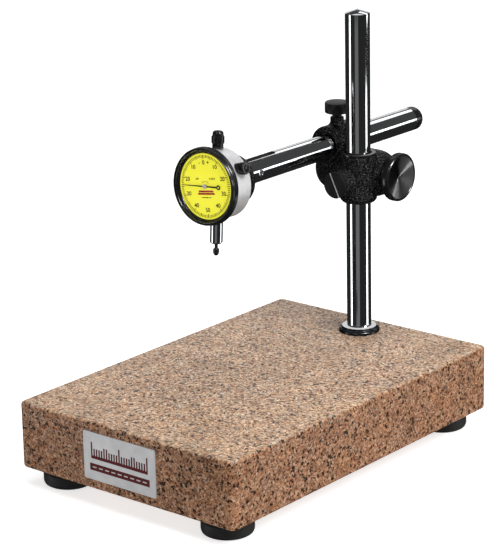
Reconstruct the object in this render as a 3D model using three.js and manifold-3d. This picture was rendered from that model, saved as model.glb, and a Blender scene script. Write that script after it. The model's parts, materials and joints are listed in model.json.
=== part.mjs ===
// A dial comparator: a granite base on rubber feet, a round column, a swivel clamp, and an arm
// that carries a dial indicator over the granite.
// Millimetres, +Z up. The origin is the centre of the granite's top face, and the front is -Y.
import * as THREE from 'three';
import { mergeVertices } from 'three/addons/utils/BufferGeometryUtils.js';
import Module from 'manifold-3d';

// ---- Driving dimensions ----
const INCH = 25.4;
const GAP = 0.3; // between a piece and the neighbour that it rests on or is cut by
const SIDES = 32; // facets round a large turned piece
const FEW = 16; // facets round a small one
const TINY = 10; // facets round an arbor or a pin

// Granite base and feet
const BASE_WIDTH = 8 * INCH;
const BASE_DEPTH = 12 * INCH;
const BASE_HEIGHT = 2 * INCH;
const BASE_CORNER = 5;
const BASE_BEVEL = 2.2;
const FOOT_RADIUS = 0.75 * INCH;
const FOOT_HEIGHT = 13.4;
const FOOT_INSET = [25.6, 23.7]; // foot centre to the granite's side and end
const FOOT_SCREW_RADIUS = 3;
const FOOT_SCREW_DEPTH = 18;
const LABEL_SIZE = [68.3, 36];
const LABEL_CENTRE = [-2.5, -24.9];
const LABEL_THICKNESS = 0.8;

// Column
const COLUMN_Y = 124.2;
const ROD_RADIUS = 0.375 * INCH; // both the column and the arm
const COLUMN_TOP = 255.7;
const COLUMN_TIP = 3.4; // height of the cone on top
const STUD_RADIUS = 6.35;
const STUD_DEPTH = 27;
const INSERT_RADIUS = 11;
const INSERT_DEPTH = 32;
const FLANGE_RADIUS = 0.625 * INCH;
const FLANGE_HEIGHT = 4.6;

// Clamp: a casting on the column and a casting on the arm, side by side on one bolt
const LINER_THICKNESS = 0.85;
const RUNNING = 0.08; // clearance between a rod and its liner
const HUB_RADIUS = 14.5;
const HUB_BOTTOM = 105.2;
const HUB_TOP = 144.2;
const MATING_X = -12.85; // plane between the two castings
const BOLT_Y = 139.4;
const BOLT_Z = 125.1;
const BOLT_RADIUS = 3.9;
const BOLT_HEAD_RADIUS = 6.6;
const BOLT_HEAD_THICKNESS = 4.5;
const EAR_RADIUS = 18.2;
const EAR_END = 17.6;
const SPLIT_HALF = 1;
const KNOB_RADIUS = 18.7;
const KNOB_BACK = 23.7;
const KNOB_FACE = 30.2;
const KNOB_DISH = 3.2;
const SCREW_BOSS = { x: -4.5, z: 121.9, radius: 10.4, front: 101.8 };
const SCREW_HEAD = { radius: 10.2, front: 99.4, slot: 1.5, slotDepth: 1.4, shank: 4.5, tip: 113.3 };

// Arm
const ARM_X = -28.5;
const ARM_Z = 145;
const ARM_FRONT = 14.1;
const ARM_BACK = 227.5;
const ARM_SLOT_END = 56.7;
const ARM_SLOT_HALF = 3.4;
const ARM_CAP_BACK = 238;
const SLEEVE_RADIUS = 15.6;
const SLEEVE_FRONT = 120;
const SLEEVE_BACK = 153;
const SWIVEL_RADIUS = 18.8;
const SWIVEL_LEFT = -37;
const LOCK_Y = 134.9;
const LOCK_NECK_RADIUS = 5.3;
const LOCK_NECK_TOP = 166.3;
const LOCK_KNOB_RADIUS = 0.375 * INCH;
const LOCK_KNOB = [169.3, 178.6];

// Indicator: y runs back from the lug pin, z runs up from the dial's axis
const LUG_Y = 30.1;
const TILT = THREE.MathUtils.degToRad(3.5);
const LUG_ABOVE_DIAL = 3.5;
const LUG_HALF = 3.1;
const LUG_PIN_RADIUS = 2.4;
const CASE_RADIUS = 26;
const CASE_INNER = 24.2;
const CASE_FRONT = -51.4;
const CASE_SHOULDER = -49.2;
const CASE_BACK = -31.4;
const COVER_BACK = -17.1;
const COVER_RIM = 24.4;
const COVER_FLAT = 18.4;
const BEZEL_RADIUS = 29.2;
const BEZEL_FRONT = -56.5;
const BEZEL_BACK = -49.6;
const BEZEL_BAND_INNER = 26.3;
const BEZEL_BORE = 27.5; // holds the dial, its ring and the crystal
const WINDOW_RADIUS = 24.4;
const DIAL_Y = -52.6;
const SPINDLE_Y = -39.5;
const SPINDLE_RADIUS = 2.35;
const SPINDLE_TOP = 30.4;
const STEM_RADIUS = 0.1875 * INCH;
const STEM_BOTTOM = -45;
const STEM_BORE = 2.46;
const CONTACT_TIP = -54.4;
const CONTACT_RADIUS = 2.3;
const CONTACT_SHOULDER = -48.9;
const CAP_BASE = 26.5;
const CAP_TOP = 39.9;
const CAP_RADIUS = 4.25;

// Movement: the rack pinion and its gear drive the centre pinion, which drives the take-up gear
const RACK_PINION = { x: -5.45, z: -6.5, radius: 2.9, pitchRadius: 2.9646, teeth: 14 };
const DRIVE_GEAR = { radius: 7.35, teeth: 44 };
const CENTRE_PINION = { radius: 1.0, teeth: 6 };
const TAKEUP = { x: 5.1, z: 5.1, radius: 6.1, teeth: 36 };
const GEAR_LAYER = [-45.1, -44.2];
const FRONT_PLATE = [-48.4, -47.2];
const REAR_PLATE = [-33.4, -32.2];
const PLATE_RADIUS = 22.6;
const ARBOR_RADIUS = 0.6;
const RACK_PITCH = 2 * Math.PI * RACK_PINION.pitchRadius / RACK_PINION.teeth;
const SPRING = { x: 9, bottom: -12, top: 11.2, radius: 1.5, wire: 0.22, turns: 7 };
const GUIDE_PIN_Z = 13;

// ---- Materials ----
function finish(color, roughness, metalness) {
  return new THREE.MeshStandardMaterial({ color, roughness, metalness });
}
const GRANITE = finish(0xb18d74, 0.55, 0);
const RUBBER = finish(0x161616, 0.8, 0);
const CHROME = finish(0xd9dadc, 0.12, 1);
const STEEL = finish(0x9a9ca0, 0.3, 1);
const SATIN = finish(0xd2d3d6, 0.4, 1);
const CASTING = finish(0x17181a, 0.6, 0.1);
const BLACK = finish(0x0d0d0f, 0.25, 0.4);
const BRASS = finish(0xb08d4c, 0.3, 1);
const DIAL = finish(0xf4ee1c, 0.5, 0);
const CRYSTAL = finish(0xffffff, 0.05, 0);
const PLATE_METAL = finish(0xc4c4c0, 0.35, 1);

// ---- Shape helpers ----
const wasm = await Module();
wasm.setup();

// Six times the enclosed volume, positive where faces point out.
function volumeOf(points, triangles) {
  const [a, b, c] = [new THREE.Vector3(), new THREE.Vector3(), new THREE.Vector3()];
  let total = 0;
  for (let i = 0; i < triangles.length; i += 3) {
    a.fromArray(points, 3 * triangles[i]);
    b.fromArray(points, 3 * triangles[i + 1]);
    c.fromArray(points, 3 * triangles[i + 2]);
    total += a.dot(b.cross(c));
  }
  return total;
}

// A closed geometry as a solid that can be joined and cut.
function solid(geometry) {
  geometry.deleteAttribute('normal');
  geometry.deleteAttribute('uv');
  const merged = mergeVertices(geometry, 1e-4);
  const points = Float32Array.from(merged.attributes.position.array);
  const triangles = [];
  for (let i = 0; i < merged.index.count; i += 3) {
    const [a, b, c] = [0, 1, 2].map((corner) => merged.index.getX(i + corner));
    if (a !== b && b !== c && c !== a) triangles.push(a, b, c);
  }
  if (volumeOf(points, triangles) < 0) triangles.reverse();
  const mesh = new wasm.Mesh({
    numProp: 3,
    vertProperties: points,
    triVerts: Uint32Array.from(triangles),
  });
  return new wasm.Manifold(mesh);
}

// A turned solid round Z. A profile that starts off the axis closes on itself.
function turned(profile, sides = SIDES) {
  const points = profile.map(([radius, height]) => new THREE.Vector2(radius, height));
  if (profile[0][0] > 0) points.push(points[0].clone());
  return new THREE.LatheGeometry(points, sides).rotateX(Math.PI / 2);
}

const rod = (radius, from, to, sides) => turned([[0, from], [radius, from], [radius, to], [0, to]], sides);

function tube(inner, outer, from, to, sides) {
  return turned([[inner, from], [outer, from], [outer, to], [inner, to]], sides);
}

const alongX = (geometry) => geometry.rotateY(Math.PI / 2);
const alongY = (geometry) => geometry.rotateX(-Math.PI / 2);

function block([x0, x1], [y0, y1], [z0, z1]) {
  const box = new THREE.BoxGeometry(x1 - x0, y1 - y0, z1 - z0);
  return box.translate((x0 + x1) / 2, (y0 + y1) / 2, (z0 + z1) / 2);
}

const group = new THREE.Group();

// Adds a solid to a group as one named mesh.
function add(parent, name, body, material) {
  const { vertProperties, triVerts } = body.getMesh();
  const geometry = new THREE.BufferGeometry();
  geometry.setAttribute('position', new THREE.BufferAttribute(Float32Array.from(vertProperties), 3));
  geometry.setIndex(Array.from(triVerts));
  geometry.computeVertexNormals();
  const mesh = new THREE.Mesh(geometry, material);
  mesh.name = name;
  parent.add(mesh);
}

// ---- Granite base ----
const footPlaces = [];
for (const [side, x] of [['left', -1], ['right', 1]]) {
  for (const [end, y] of [['front', -1], ['back', 1]]) {
    const place = [x * (BASE_WIDTH / 2 - FOOT_INSET[0]), y * (BASE_DEPTH / 2 - FOOT_INSET[1])];
    footPlaces.push([`${end}_${side}`, place]);
  }
}

function granitePlate() {
  const halfWidth = BASE_WIDTH / 2 - BASE_BEVEL;
  const halfDepth = BASE_DEPTH / 2 - BASE_BEVEL;
  const radius = BASE_CORNER - BASE_BEVEL;
  const outline = new THREE.Shape();
  outline.absarc(halfWidth - radius, halfDepth - radius, radius, 0, Math.PI / 2);
  outline.absarc(radius - halfWidth, halfDepth - radius, radius, Math.PI / 2, Math.PI);
  outline.absarc(radius - halfWidth, radius - halfDepth, radius, Math.PI, 1.5 * Math.PI);
  outline.absarc(halfWidth - radius, radius - halfDepth, radius, 1.5 * Math.PI, 2 * Math.PI);
  const plate = new THREE.ExtrudeGeometry(outline, {
    depth: BASE_HEIGHT - 2 * BASE_BEVEL,
    curveSegments: 4,
    bevelThickness: BASE_BEVEL,
    bevelSize: BASE_BEVEL,
    bevelSegments: 3,
  });
  let body = solid(plate.translate(0, 0, BASE_BEVEL - BASE_HEIGHT));
  const insertHole = rod(INSERT_RADIUS + GAP, -INSERT_DEPTH - 1, 1, FEW).translate(0, COLUMN_Y, 0);
  body = body.subtract(solid(insertHole));
  for (const [, [x, y]] of footPlaces) {
    const hole = rod(FOOT_SCREW_RADIUS + GAP, -BASE_HEIGHT - 1, FOOT_SCREW_DEPTH - BASE_HEIGHT + 1, TINY);
    body = body.subtract(solid(hole.translate(x, y, 0)));
  }
  return body;
}

function rubberFoot(x, y) {
  const top = -BASE_HEIGHT;
  const bottom = top - FOOT_HEIGHT;
  const hole = FOOT_SCREW_RADIUS + GAP;
  const profile = [
    [hole, top], [hole, bottom + 6], [7, bottom + 6], [7, bottom], [FOOT_RADIUS - 2.6, bottom],
    [FOOT_RADIUS - 0.8, bottom + 0.9], [FOOT_RADIUS, bottom + 3], [FOOT_RADIUS - 0.4, top],
  ];
  return solid(turned(profile, FEW).translate(x, y, 0));
}

function footScrew(x, y) {
  const seat = -BASE_HEIGHT - FOOT_HEIGHT + 6;
  const profile = [
    [0, seat - 3.4], [4.2, seat - 3.4], [5.6, seat - 2], [5.6, seat - 0.05],
    [FOOT_SCREW_RADIUS, seat - 0.05], [FOOT_SCREW_RADIUS, FOOT_SCREW_DEPTH - BASE_HEIGHT],
    [0, FOOT_SCREW_DEPTH - BASE_HEIGHT],
  ];
  return solid(turned(profile, TINY).translate(x, y, 0));
}

function labelPlate() {
  const [width, height] = LABEL_SIZE;
  const [x, z] = LABEL_CENTRE;
  const back = -BASE_DEPTH / 2 - 0.05;
  const across = [x - width / 2, x + width / 2];
  const up = [z - height / 2, z + height / 2];
  return solid(block(across, [back - LABEL_THICKNESS, back], up));
}

// ---- Column ----
function columnInsert() {
  const bore = STUD_RADIUS + GAP;
  const profile = [
    [bore, -INSERT_DEPTH], [INSERT_RADIUS, -INSERT_DEPTH], [INSERT_RADIUS, 0.05], [FLANGE_RADIUS, 0.05],
    [FLANGE_RADIUS, FLANGE_HEIGHT - 2], [FLANGE_RADIUS - 2, FLANGE_HEIGHT], [bore, FLANGE_HEIGHT],
  ];
  return solid(turned(profile).translate(0, COLUMN_Y, 0));
}

function column() {
  const foot = FLANGE_HEIGHT + 0.05;
  const profile = [
    [0, -STUD_DEPTH], [STUD_RADIUS - 1, -STUD_DEPTH], [STUD_RADIUS, 1 - STUD_DEPTH], [STUD_RADIUS, foot],
    [ROD_RADIUS, foot], [ROD_RADIUS, COLUMN_TOP - COLUMN_TIP], [0, COLUMN_TOP],
  ];
  return solid(turned(profile).translate(0, COLUMN_Y, 0));
}

// A thin split bush that a clamp screw closes on its rod. The slit faces +Y before it is turned.
function splitLiner(from, to) {
  const inner = ROD_RADIUS + RUNNING;
  const bush = solid(tube(inner, inner + LINER_THICKNESS, from, to));
  const slit = solid(block([-SPLIT_HALF, SPLIT_HALF], [0, 2 * ROD_RADIUS], [from - 1, to + 1]));
  return bush.subtract(slit);
}

const LINER_OUTER = ROD_RADIUS + RUNNING + LINER_THICKNESS;

// ---- Column casting: split hub, two ears round the bolt, and a boss for the friction screw ----
function columnClamp() {
  const hubProfile = [
    [0, HUB_BOTTOM], [HUB_RADIUS - 2.5, HUB_BOTTOM], [HUB_RADIUS, HUB_BOTTOM + 3],
    [HUB_RADIUS, HUB_TOP - 2.4], [HUB_RADIUS - 0.8, HUB_TOP - 2.2], [HUB_RADIUS - 0.8, HUB_TOP], [0, HUB_TOP],
  ];
  const earProfile = [
    [0, MATING_X + GAP], [EAR_RADIUS, MATING_X + GAP], [EAR_RADIUS, EAR_END - 12],
    [EAR_RADIUS - 0.4, EAR_END - 8.5], [EAR_RADIUS - 1.8, EAR_END - 4.5],
    [EAR_RADIUS - 4.4, EAR_END - 1.4], [EAR_RADIUS - 7.7, EAR_END], [0, EAR_END],
  ];
  const boss = SCREW_BOSS;
  const hub = solid(turned(hubProfile).translate(0, COLUMN_Y, 0));
  const ears = solid(alongX(turned(earProfile)).translate(0, BOLT_Y, BOLT_Z));
  const neck = rod(boss.radius, boss.front, COLUMN_Y, FEW);
  let body = hub.add(ears).add(solid(alongY(neck).translate(boss.x, 0, boss.z)));
  const left = solid(block([-60, MATING_X + GAP], [113.6, 200], [80, 170]));
  const bore = rod(LINER_OUTER + 0.12, HUB_BOTTOM - 1, HUB_TOP + 1).translate(0, COLUMN_Y, 0);
  const boltHole = alongX(rod(BOLT_RADIUS + GAP, -30, 30, FEW)).translate(0, BOLT_Y, BOLT_Z);
  const screwHole = alongY(rod(SCREW_HEAD.shank + GAP, boss.front - 1, COLUMN_Y, FEW));
  const split = block([-SPLIT_HALF, SPLIT_HALF], [COLUMN_Y, 170], [80, 170]);
  body = body.subtract(left).subtract(solid(bore)).subtract(solid(boltHole));
  return body.subtract(solid(screwHole.translate(boss.x, 0, boss.z))).subtract(solid(split));
}

function clampBolt() {
  const head = SWIVEL_LEFT - GAP;
  const profile = [
    [0, head - BOLT_HEAD_THICKNESS], [BOLT_HEAD_RADIUS - 1.5, head - BOLT_HEAD_THICKNESS],
    [BOLT_HEAD_RADIUS, head - BOLT_HEAD_THICKNESS + 1.5], [BOLT_HEAD_RADIUS, head],
    [BOLT_RADIUS, head], [BOLT_RADIUS, KNOB_FACE - KNOB_DISH - 2.4], [0, KNOB_FACE - KNOB_DISH - 2.4],
  ];
  return solid(alongX(turned(profile, FEW)).translate(0, BOLT_Y, BOLT_Z));
}

function clampWasher() {
  const washer = tube(BOLT_RADIUS + GAP, 10, EAR_END + 0.1, EAR_END + 1.5, FEW);
  return solid(alongX(washer).translate(0, BOLT_Y, BOLT_Z));
}

function clampKnob() {
  const bore = BOLT_RADIUS + GAP;
  const blindEnd = KNOB_FACE - KNOB_DISH - 2;
  const profile = [
    [0, blindEnd], [bore, blindEnd], [bore, EAR_END + 1.6], [9.5, EAR_END + 1.6], [9.5, KNOB_BACK],
    [KNOB_RADIUS - 1, KNOB_BACK], [KNOB_RADIUS, KNOB_BACK + 1], [KNOB_RADIUS, KNOB_FACE - 1.2],
    [KNOB_RADIUS - 1.2, KNOB_FACE], [KNOB_RADIUS - 2, KNOB_FACE], [0, KNOB_FACE - KNOB_DISH],
  ];
  return solid(alongX(turned(profile)).translate(0, BOLT_Y, BOLT_Z));
}

function frictionScrew() {
  const head = SCREW_HEAD;
  const profile = [
    [0, head.front], [head.radius - 0.8, head.front], [head.radius, head.front + 0.8],
    [head.radius, SCREW_BOSS.front - GAP / 2], [head.shank, SCREW_BOSS.front - GAP / 2],
    [head.shank, head.tip], [0, head.tip],
  ];
  const screw = solid(alongY(turned(profile, FEW)));
  const slot = block([-head.slot / 2, head.slot / 2], [0, head.front + head.slotDepth], [-20, 20]);
  const turn = THREE.MathUtils.degToRad(-25);
  const cutter = solid(slot.rotateY(turn));
  return screw.subtract(cutter).translate([SCREW_BOSS.x, 0, SCREW_BOSS.z]);
}

// ---- Arm casting: a sleeve on a swivel disc, with a neck for the lock screw ----
function armClamp() {
  const sleeveProfile = [
    [0, SLEEVE_FRONT], [13, SLEEVE_FRONT], [13, SLEEVE_FRONT + 1.2], [SLEEVE_RADIUS - 0.7, SLEEVE_FRONT + 1.2],
    [SLEEVE_RADIUS, SLEEVE_FRONT + 2], [SLEEVE_RADIUS, SLEEVE_BACK - 2], [SLEEVE_RADIUS - 2, SLEEVE_BACK],
    [0, SLEEVE_BACK],
  ];
  const discProfile = [
    [0, SWIVEL_LEFT], [SWIVEL_RADIUS - 7.7, SWIVEL_LEFT], [SWIVEL_RADIUS - 4.4, SWIVEL_LEFT + 1.4],
    [SWIVEL_RADIUS - 1.8, SWIVEL_LEFT + 4.5], [SWIVEL_RADIUS - 0.4, SWIVEL_LEFT + 8.5],
    [SWIVEL_RADIUS, SWIVEL_LEFT + 12], [SWIVEL_RADIUS, MATING_X], [0, MATING_X],
  ];
  const sleeve = solid(alongY(turned(sleeveProfile)).translate(ARM_X, 0, ARM_Z));
  const disc = solid(alongX(turned(discProfile)).translate(0, BOLT_Y, BOLT_Z));
  const neck = solid(rod(LOCK_NECK_RADIUS, ARM_Z, LOCK_NECK_TOP, FEW).translate(ARM_X, LOCK_Y, 0));
  let body = sleeve.add(disc).add(neck);
  const right = solid(block([MATING_X, 20], [80, 200], [80, 200]));
  const bore = alongY(rod(LINER_OUTER + 0.12, SLEEVE_FRONT - 1, SLEEVE_BACK + 20));
  const boltHole = alongX(rod(BOLT_RADIUS + GAP, -60, 30, FEW)).translate(0, BOLT_Y, BOLT_Z);
  const lockHole = rod(3 + GAP, ARM_Z, LOCK_NECK_TOP + 1, FEW).translate(ARM_X, LOCK_Y, 0);
  body = body.subtract(right).subtract(solid(bore.translate(ARM_X, 0, ARM_Z)));
  return body.subtract(solid(boltHole)).subtract(solid(lockHole));
}

function armLockKnob() {
  const [bottom, top] = LOCK_KNOB;
  const profile = [
    [0, ARM_Z + LINER_OUTER + 0.5], [3, ARM_Z + LINER_OUTER + 0.5], [3, LOCK_NECK_TOP + 0.1],
    [3.6, LOCK_NECK_TOP + 0.1], [3.6, bottom], [LOCK_KNOB_RADIUS - 0.6, bottom],
    [LOCK_KNOB_RADIUS, bottom + 0.6], [LOCK_KNOB_RADIUS, top - 0.8], [LOCK_KNOB_RADIUS - 0.8, top],
    [0, top - 0.6],
  ];
  return solid(turned(profile, FEW).translate(ARM_X, LOCK_Y, 0));
}

// ---- Arm ----
function arm() {
  const profile = [
    [0, ARM_FRONT], [ROD_RADIUS - 1, ARM_FRONT], [ROD_RADIUS, ARM_FRONT + 1], [ROD_RADIUS, ARM_BACK],
    [6, ARM_BACK], [6, ARM_BACK + 3], [0, ARM_BACK + 3],
  ];
  const shaft = solid(alongY(turned(profile)));
  const slotEnd = ARM_SLOT_END - ARM_SLOT_HALF;
  const slot = solid(block([-ARM_SLOT_HALF, ARM_SLOT_HALF], [0, slotEnd], [-20, 20]));
  const round = solid(rod(ARM_SLOT_HALF, -20, 20, FEW).translate(0, slotEnd, 0));
  const hole = solid(alongX(rod(LUG_PIN_RADIUS + 0.15, -20, 20, FEW)).translate(0, LUG_Y, 0));
  return shaft.subtract(slot.add(round)).subtract(hole).translate([ARM_X, 0, ARM_Z]);
}

function armEndCap() {
  const profile = [
    [0, ARM_BACK + 3.4], [6 + GAP, ARM_BACK + 3.4], [6 + GAP, ARM_BACK + 0.05], [ROD_RADIUS, ARM_BACK + 0.05],
    [ROD_RADIUS, ARM_CAP_BACK - 3.2], [ROD_RADIUS - 1, ARM_CAP_BACK - 1.1], [ROD_RADIUS - 3.2, ARM_CAP_BACK],
    [0, ARM_CAP_BACK + 0.4],
  ];
  return solid(alongY(turned(profile)).translate(ARM_X, 0, ARM_Z));
}

function lugScrew() {
  const profile = [
    [0, -ROD_RADIUS + 0.6], [LUG_PIN_RADIUS, -ROD_RADIUS + 0.6], [LUG_PIN_RADIUS, ROD_RADIUS - 0.6],
    [0, ROD_RADIUS - 0.6],
  ];
  const pin = solid(alongX(turned(profile, FEW)));
  const slot = solid(block([ROD_RADIUS - 1.4, ROD_RADIUS], [-0.5, 0.5], [-4, 4]));
  return pin.subtract(slot).translate([ARM_X, LUG_Y, ARM_Z]);
}

// ---- Indicator body, in its own tilted group ----
const lugGroup = new THREE.Group();
lugGroup.position.set(ARM_X, LUG_Y, ARM_Z);
lugGroup.rotation.x = -TILT;
const indicator = new THREE.Group();
indicator.position.set(0, 0, -LUG_ABOVE_DIAL);
lugGroup.add(indicator);

function indicatorCase() {
  const profile = [
    [CASE_INNER, CASE_FRONT], [CASE_RADIUS - 0.5, CASE_FRONT], [CASE_RADIUS - 0.5, CASE_SHOULDER],
    [CASE_RADIUS, CASE_SHOULDER], [CASE_RADIUS, CASE_BACK], [CASE_INNER, CASE_BACK],
  ];
  const shell = solid(alongY(turned(profile)));
  const topHole = solid(rod(3.2 + GAP, 20, 30, FEW).translate(0, SPINDLE_Y, 0));
  const stemHole = solid(rod(STEM_RADIUS + GAP, -30, -20, FEW).translate(0, SPINDLE_Y, 0));
  return shell.subtract(topHole).subtract(stemHole);
}

const coverScrewPlaces = [45, 135, 225, 315].map((angle) => {
  const turn = THREE.MathUtils.degToRad(angle);
  return [15 * Math.cos(turn), 15 * Math.sin(turn)];
});

function backCover() {
  const front = CASE_BACK + GAP;
  const profile = [
    [0, front], [COVER_RIM, front], [COVER_RIM, front + 1.6], [COVER_RIM - 2.9, front + 3.2],
    [COVER_RIM - 4.4, front + 6], [COVER_FLAT + 1.2, COVER_BACK - 3], [COVER_FLAT, COVER_BACK],
    [0, COVER_BACK],
  ];
  let body = solid(alongY(turned(profile)));
  const z = LUG_ABOVE_DIAL;
  const lugArm = block([-LUG_HALF, LUG_HALF], [COVER_BACK - 3, 0], [z - 6.2, z + 6.2]);
  const lugEnd = alongX(rod(6.2, -LUG_HALF, LUG_HALF, FEW)).translate(0, 0, z);
  const pinHole = alongX(rod(LUG_PIN_RADIUS + 0.15, -9, 9, FEW)).translate(0, 0, z);
  body = body.add(solid(lugArm).add(solid(lugEnd))).subtract(solid(pinHole));
  for (const [x, y] of coverScrewPlaces) {
    const hole = alongY(rod(1.6, COVER_BACK - 7, COVER_BACK + 1, TINY)).translate(x, 0, y);
    body = body.subtract(solid(hole));
  }
  return body;
}

function coverScrew(x, z) {
  const profile = [
    [0, COVER_BACK - 6], [1.2, COVER_BACK - 6], [1.2, COVER_BACK + 0.3], [2.6, COVER_BACK + 0.3],
    [2.2, COVER_BACK + 1.4], [0, COVER_BACK + 1.6],
  ];
  return solid(alongY(turned(profile, TINY)).translate(x, 0, z));
}

function stem() {
  const profile = [
    [STEM_BORE, -22], [STEM_BORE, STEM_BOTTOM], [STEM_RADIUS - 0.9, STEM_BOTTOM],
    [STEM_RADIUS, STEM_BOTTOM + 1], [STEM_RADIUS, -22],
  ];
  return solid(turned(profile, FEW).translate(0, SPINDLE_Y, 0));
}

function topBushing() {
  return solid(tube(STEM_BORE, 3.2, 21, 30.2, FEW).translate(0, SPINDLE_Y, 0));
}

function dustCap() {
  const profile = [
    [0, CAP_TOP], [2.9, CAP_TOP - 0.2], [3.8, CAP_TOP - 0.9], [CAP_RADIUS, CAP_TOP - 2.2],
    [CAP_RADIUS, 36.1], [CAP_RADIUS + 0.6, 35.8], [CAP_RADIUS + 0.6, 30.4], [CAP_RADIUS, 30.1],
    [CAP_RADIUS, CAP_BASE], [3.2 + GAP, CAP_BASE], [3.2 + GAP, SPINDLE_TOP + 7], [0, SPINDLE_TOP + 7.4],
  ];
  return solid(turned(profile, FEW).translate(0, SPINDLE_Y, 0));
}

// ---- Bezel and dial, which turn together ----
function bezel() {
  const profile = [
    [BEZEL_BAND_INNER, BEZEL_BACK], [BEZEL_RADIUS, BEZEL_BACK], [BEZEL_RADIUS, BEZEL_BACK - 3.6],
    [BEZEL_RADIUS - 0.6, BEZEL_BACK - 4.2], [BEZEL_RADIUS - 0.7, BEZEL_FRONT + 1.3],
    [BEZEL_RADIUS - 1.3, BEZEL_FRONT + 0.2], [BEZEL_BORE + 0.3, BEZEL_FRONT], [BEZEL_BORE, BEZEL_FRONT + 0.1],
    [BEZEL_BORE, DIAL_Y + 0.9], [BEZEL_BAND_INNER, DIAL_Y + 0.9],
  ];
  return solid(alongY(turned(profile, 48)));
}

function crystal() {
  const front = BEZEL_FRONT + 0.15;
  return solid(alongY(rod(BEZEL_BORE - 0.2, front, front + 0.7, 48)));
}

// The conical ring between the crystal and the dial.
function dialRing() {
  const front = BEZEL_FRONT + 0.95;
  const back = DIAL_Y - 0.1;
  const outer = BEZEL_BORE - 0.2;
  const profile = [[WINDOW_RADIUS, back], [outer, back], [outer, front], [outer - 0.5, front]];
  return solid(alongY(turned(profile, 48)));
}

function dialFace() {
  return solid(alongY(tube(1.3, BEZEL_BORE - 0.2, DIAL_Y, DIAL_Y + 0.8, 48)));
}

// The clamp that holds the bezel: a post on the case's side with a thumb screw through it
const BEZEL_CLAMP = {
  angle: THREE.MathUtils.degToRad(12),
  y: -41.2,
  z: 10.2, // where its axis crosses the dial's vertical centre line
  seat: 18.5,
  head: 24.2,
  end: 29.6,
};

function placeBezelClamp(geometry) {
  return geometry.rotateY(Math.PI / 2 - BEZEL_CLAMP.angle).translate(0, BEZEL_CLAMP.y, BEZEL_CLAMP.z);
}

function bezelClampBlock() {
  const { seat, head } = BEZEL_CLAMP;
  const post = solid(placeBezelClamp(tube(2.2, 4.1, seat, head, FEW)));
  return post.subtract(solid(alongY(rod(CASE_RADIUS + 0.15, -60, -20))));
}

function bezelClampScrew() {
  const { head, end } = BEZEL_CLAMP;
  const profile = [
    [0, head - 1], [1.8, head - 1], [1.8, head + 0.2], [4.3, head + 0.2],
    [4.7, head + 0.6], [4.7, end - 0.6], [4.2, end], [0, end],
  ];
  return solid(placeBezelClamp(turned(profile, FEW)));
}

// ---- Movement ----
// A toothed wheel lying across Y between two layers.
function gear({ radius, teeth }, [from, to], depth = 0.45) {
  const outline = new THREE.Shape();
  for (let tooth = 0; tooth < teeth; tooth += 1) {
    for (const [part, reach] of [[0, -depth], [0.35, -depth], [0.7, 0]]) {
      const angle = 2 * Math.PI * (tooth + part) / teeth;
      const out = radius + reach;
      if (tooth + part === 0) outline.moveTo(out * Math.cos(angle), out * Math.sin(angle));
      else outline.lineTo(out * Math.cos(angle), out * Math.sin(angle));
    }
  }
  outline.closePath();
  const wheel = new THREE.ExtrudeGeometry(outline, { depth: to - from, bevelEnabled: false });
  return solid(alongY(wheel.translate(0, 0, from)));
}

function spindle() {
  const shaft = solid(rod(SPINDLE_RADIUS, STEM_BOTTOM - 0.2, SPINDLE_TOP, FEW));
  const notch = new THREE.Shape();
  notch.moveTo(-SPINDLE_RADIUS - 0.5, -0.42);
  notch.lineTo(0.5 - SPINDLE_RADIUS, 0);
  notch.lineTo(-SPINDLE_RADIUS - 0.5, 0.42);
  notch.closePath();
  let body = shaft;
  for (let tooth = -9; tooth <= 2; tooth += 1) {
    const cutter = new THREE.ExtrudeGeometry(notch, { depth: 6, bevelEnabled: false });
    cutter.rotateX(Math.PI / 2).translate(0, 3, RACK_PINION.z + tooth * RACK_PITCH);
    body = body.subtract(solid(cutter));
  }
  const pinHole = solid(alongX(rod(0.8 + 0.05, 0, 5, TINY)).translate(0, 0, GUIDE_PIN_Z));
  const thread = solid(rod(1.5, STEM_BOTTOM - 1, STEM_BOTTOM + 5, TINY));
  return body.subtract(pinHole).subtract(thread).translate([0, SPINDLE_Y, 0]);
}

function contactPoint() {
  const profile = [
    [0, CONTACT_TIP], [1.3, CONTACT_TIP + 0.4], [2.1, CONTACT_TIP + 1.5], [CONTACT_RADIUS, CONTACT_TIP + 2.6],
    [CONTACT_RADIUS, CONTACT_SHOULDER - 0.5], [CONTACT_RADIUS - 0.5, CONTACT_SHOULDER],
    [1.25, CONTACT_SHOULDER + 0.2], [1.25, STEM_BOTTOM + 4], [0, STEM_BOTTOM + 4],
  ];
  return solid(turned(profile, FEW).translate(0, SPINDLE_Y, 0));
}

function guidePin() {
  const pin = alongX(rod(0.8, 0.2, SPRING.x + 0.9, TINY));
  return solid(pin.translate(0, SPINDLE_Y, GUIDE_PIN_Z));
}

function guideRail() {
  const back = REAR_PLATE[0] - 0.1;
  const rail = solid(block([4, 6.6], [SPINDLE_Y - 2.6, back], [GUIDE_PIN_Z - 2.8, GUIDE_PIN_Z + 9]));
  const slot = solid(block([0, 10], [SPINDLE_Y - 1, SPINDLE_Y + 1], [GUIDE_PIN_Z - 1.2, GUIDE_PIN_Z + 7.6]));
  return rail.subtract(slot);
}

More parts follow.
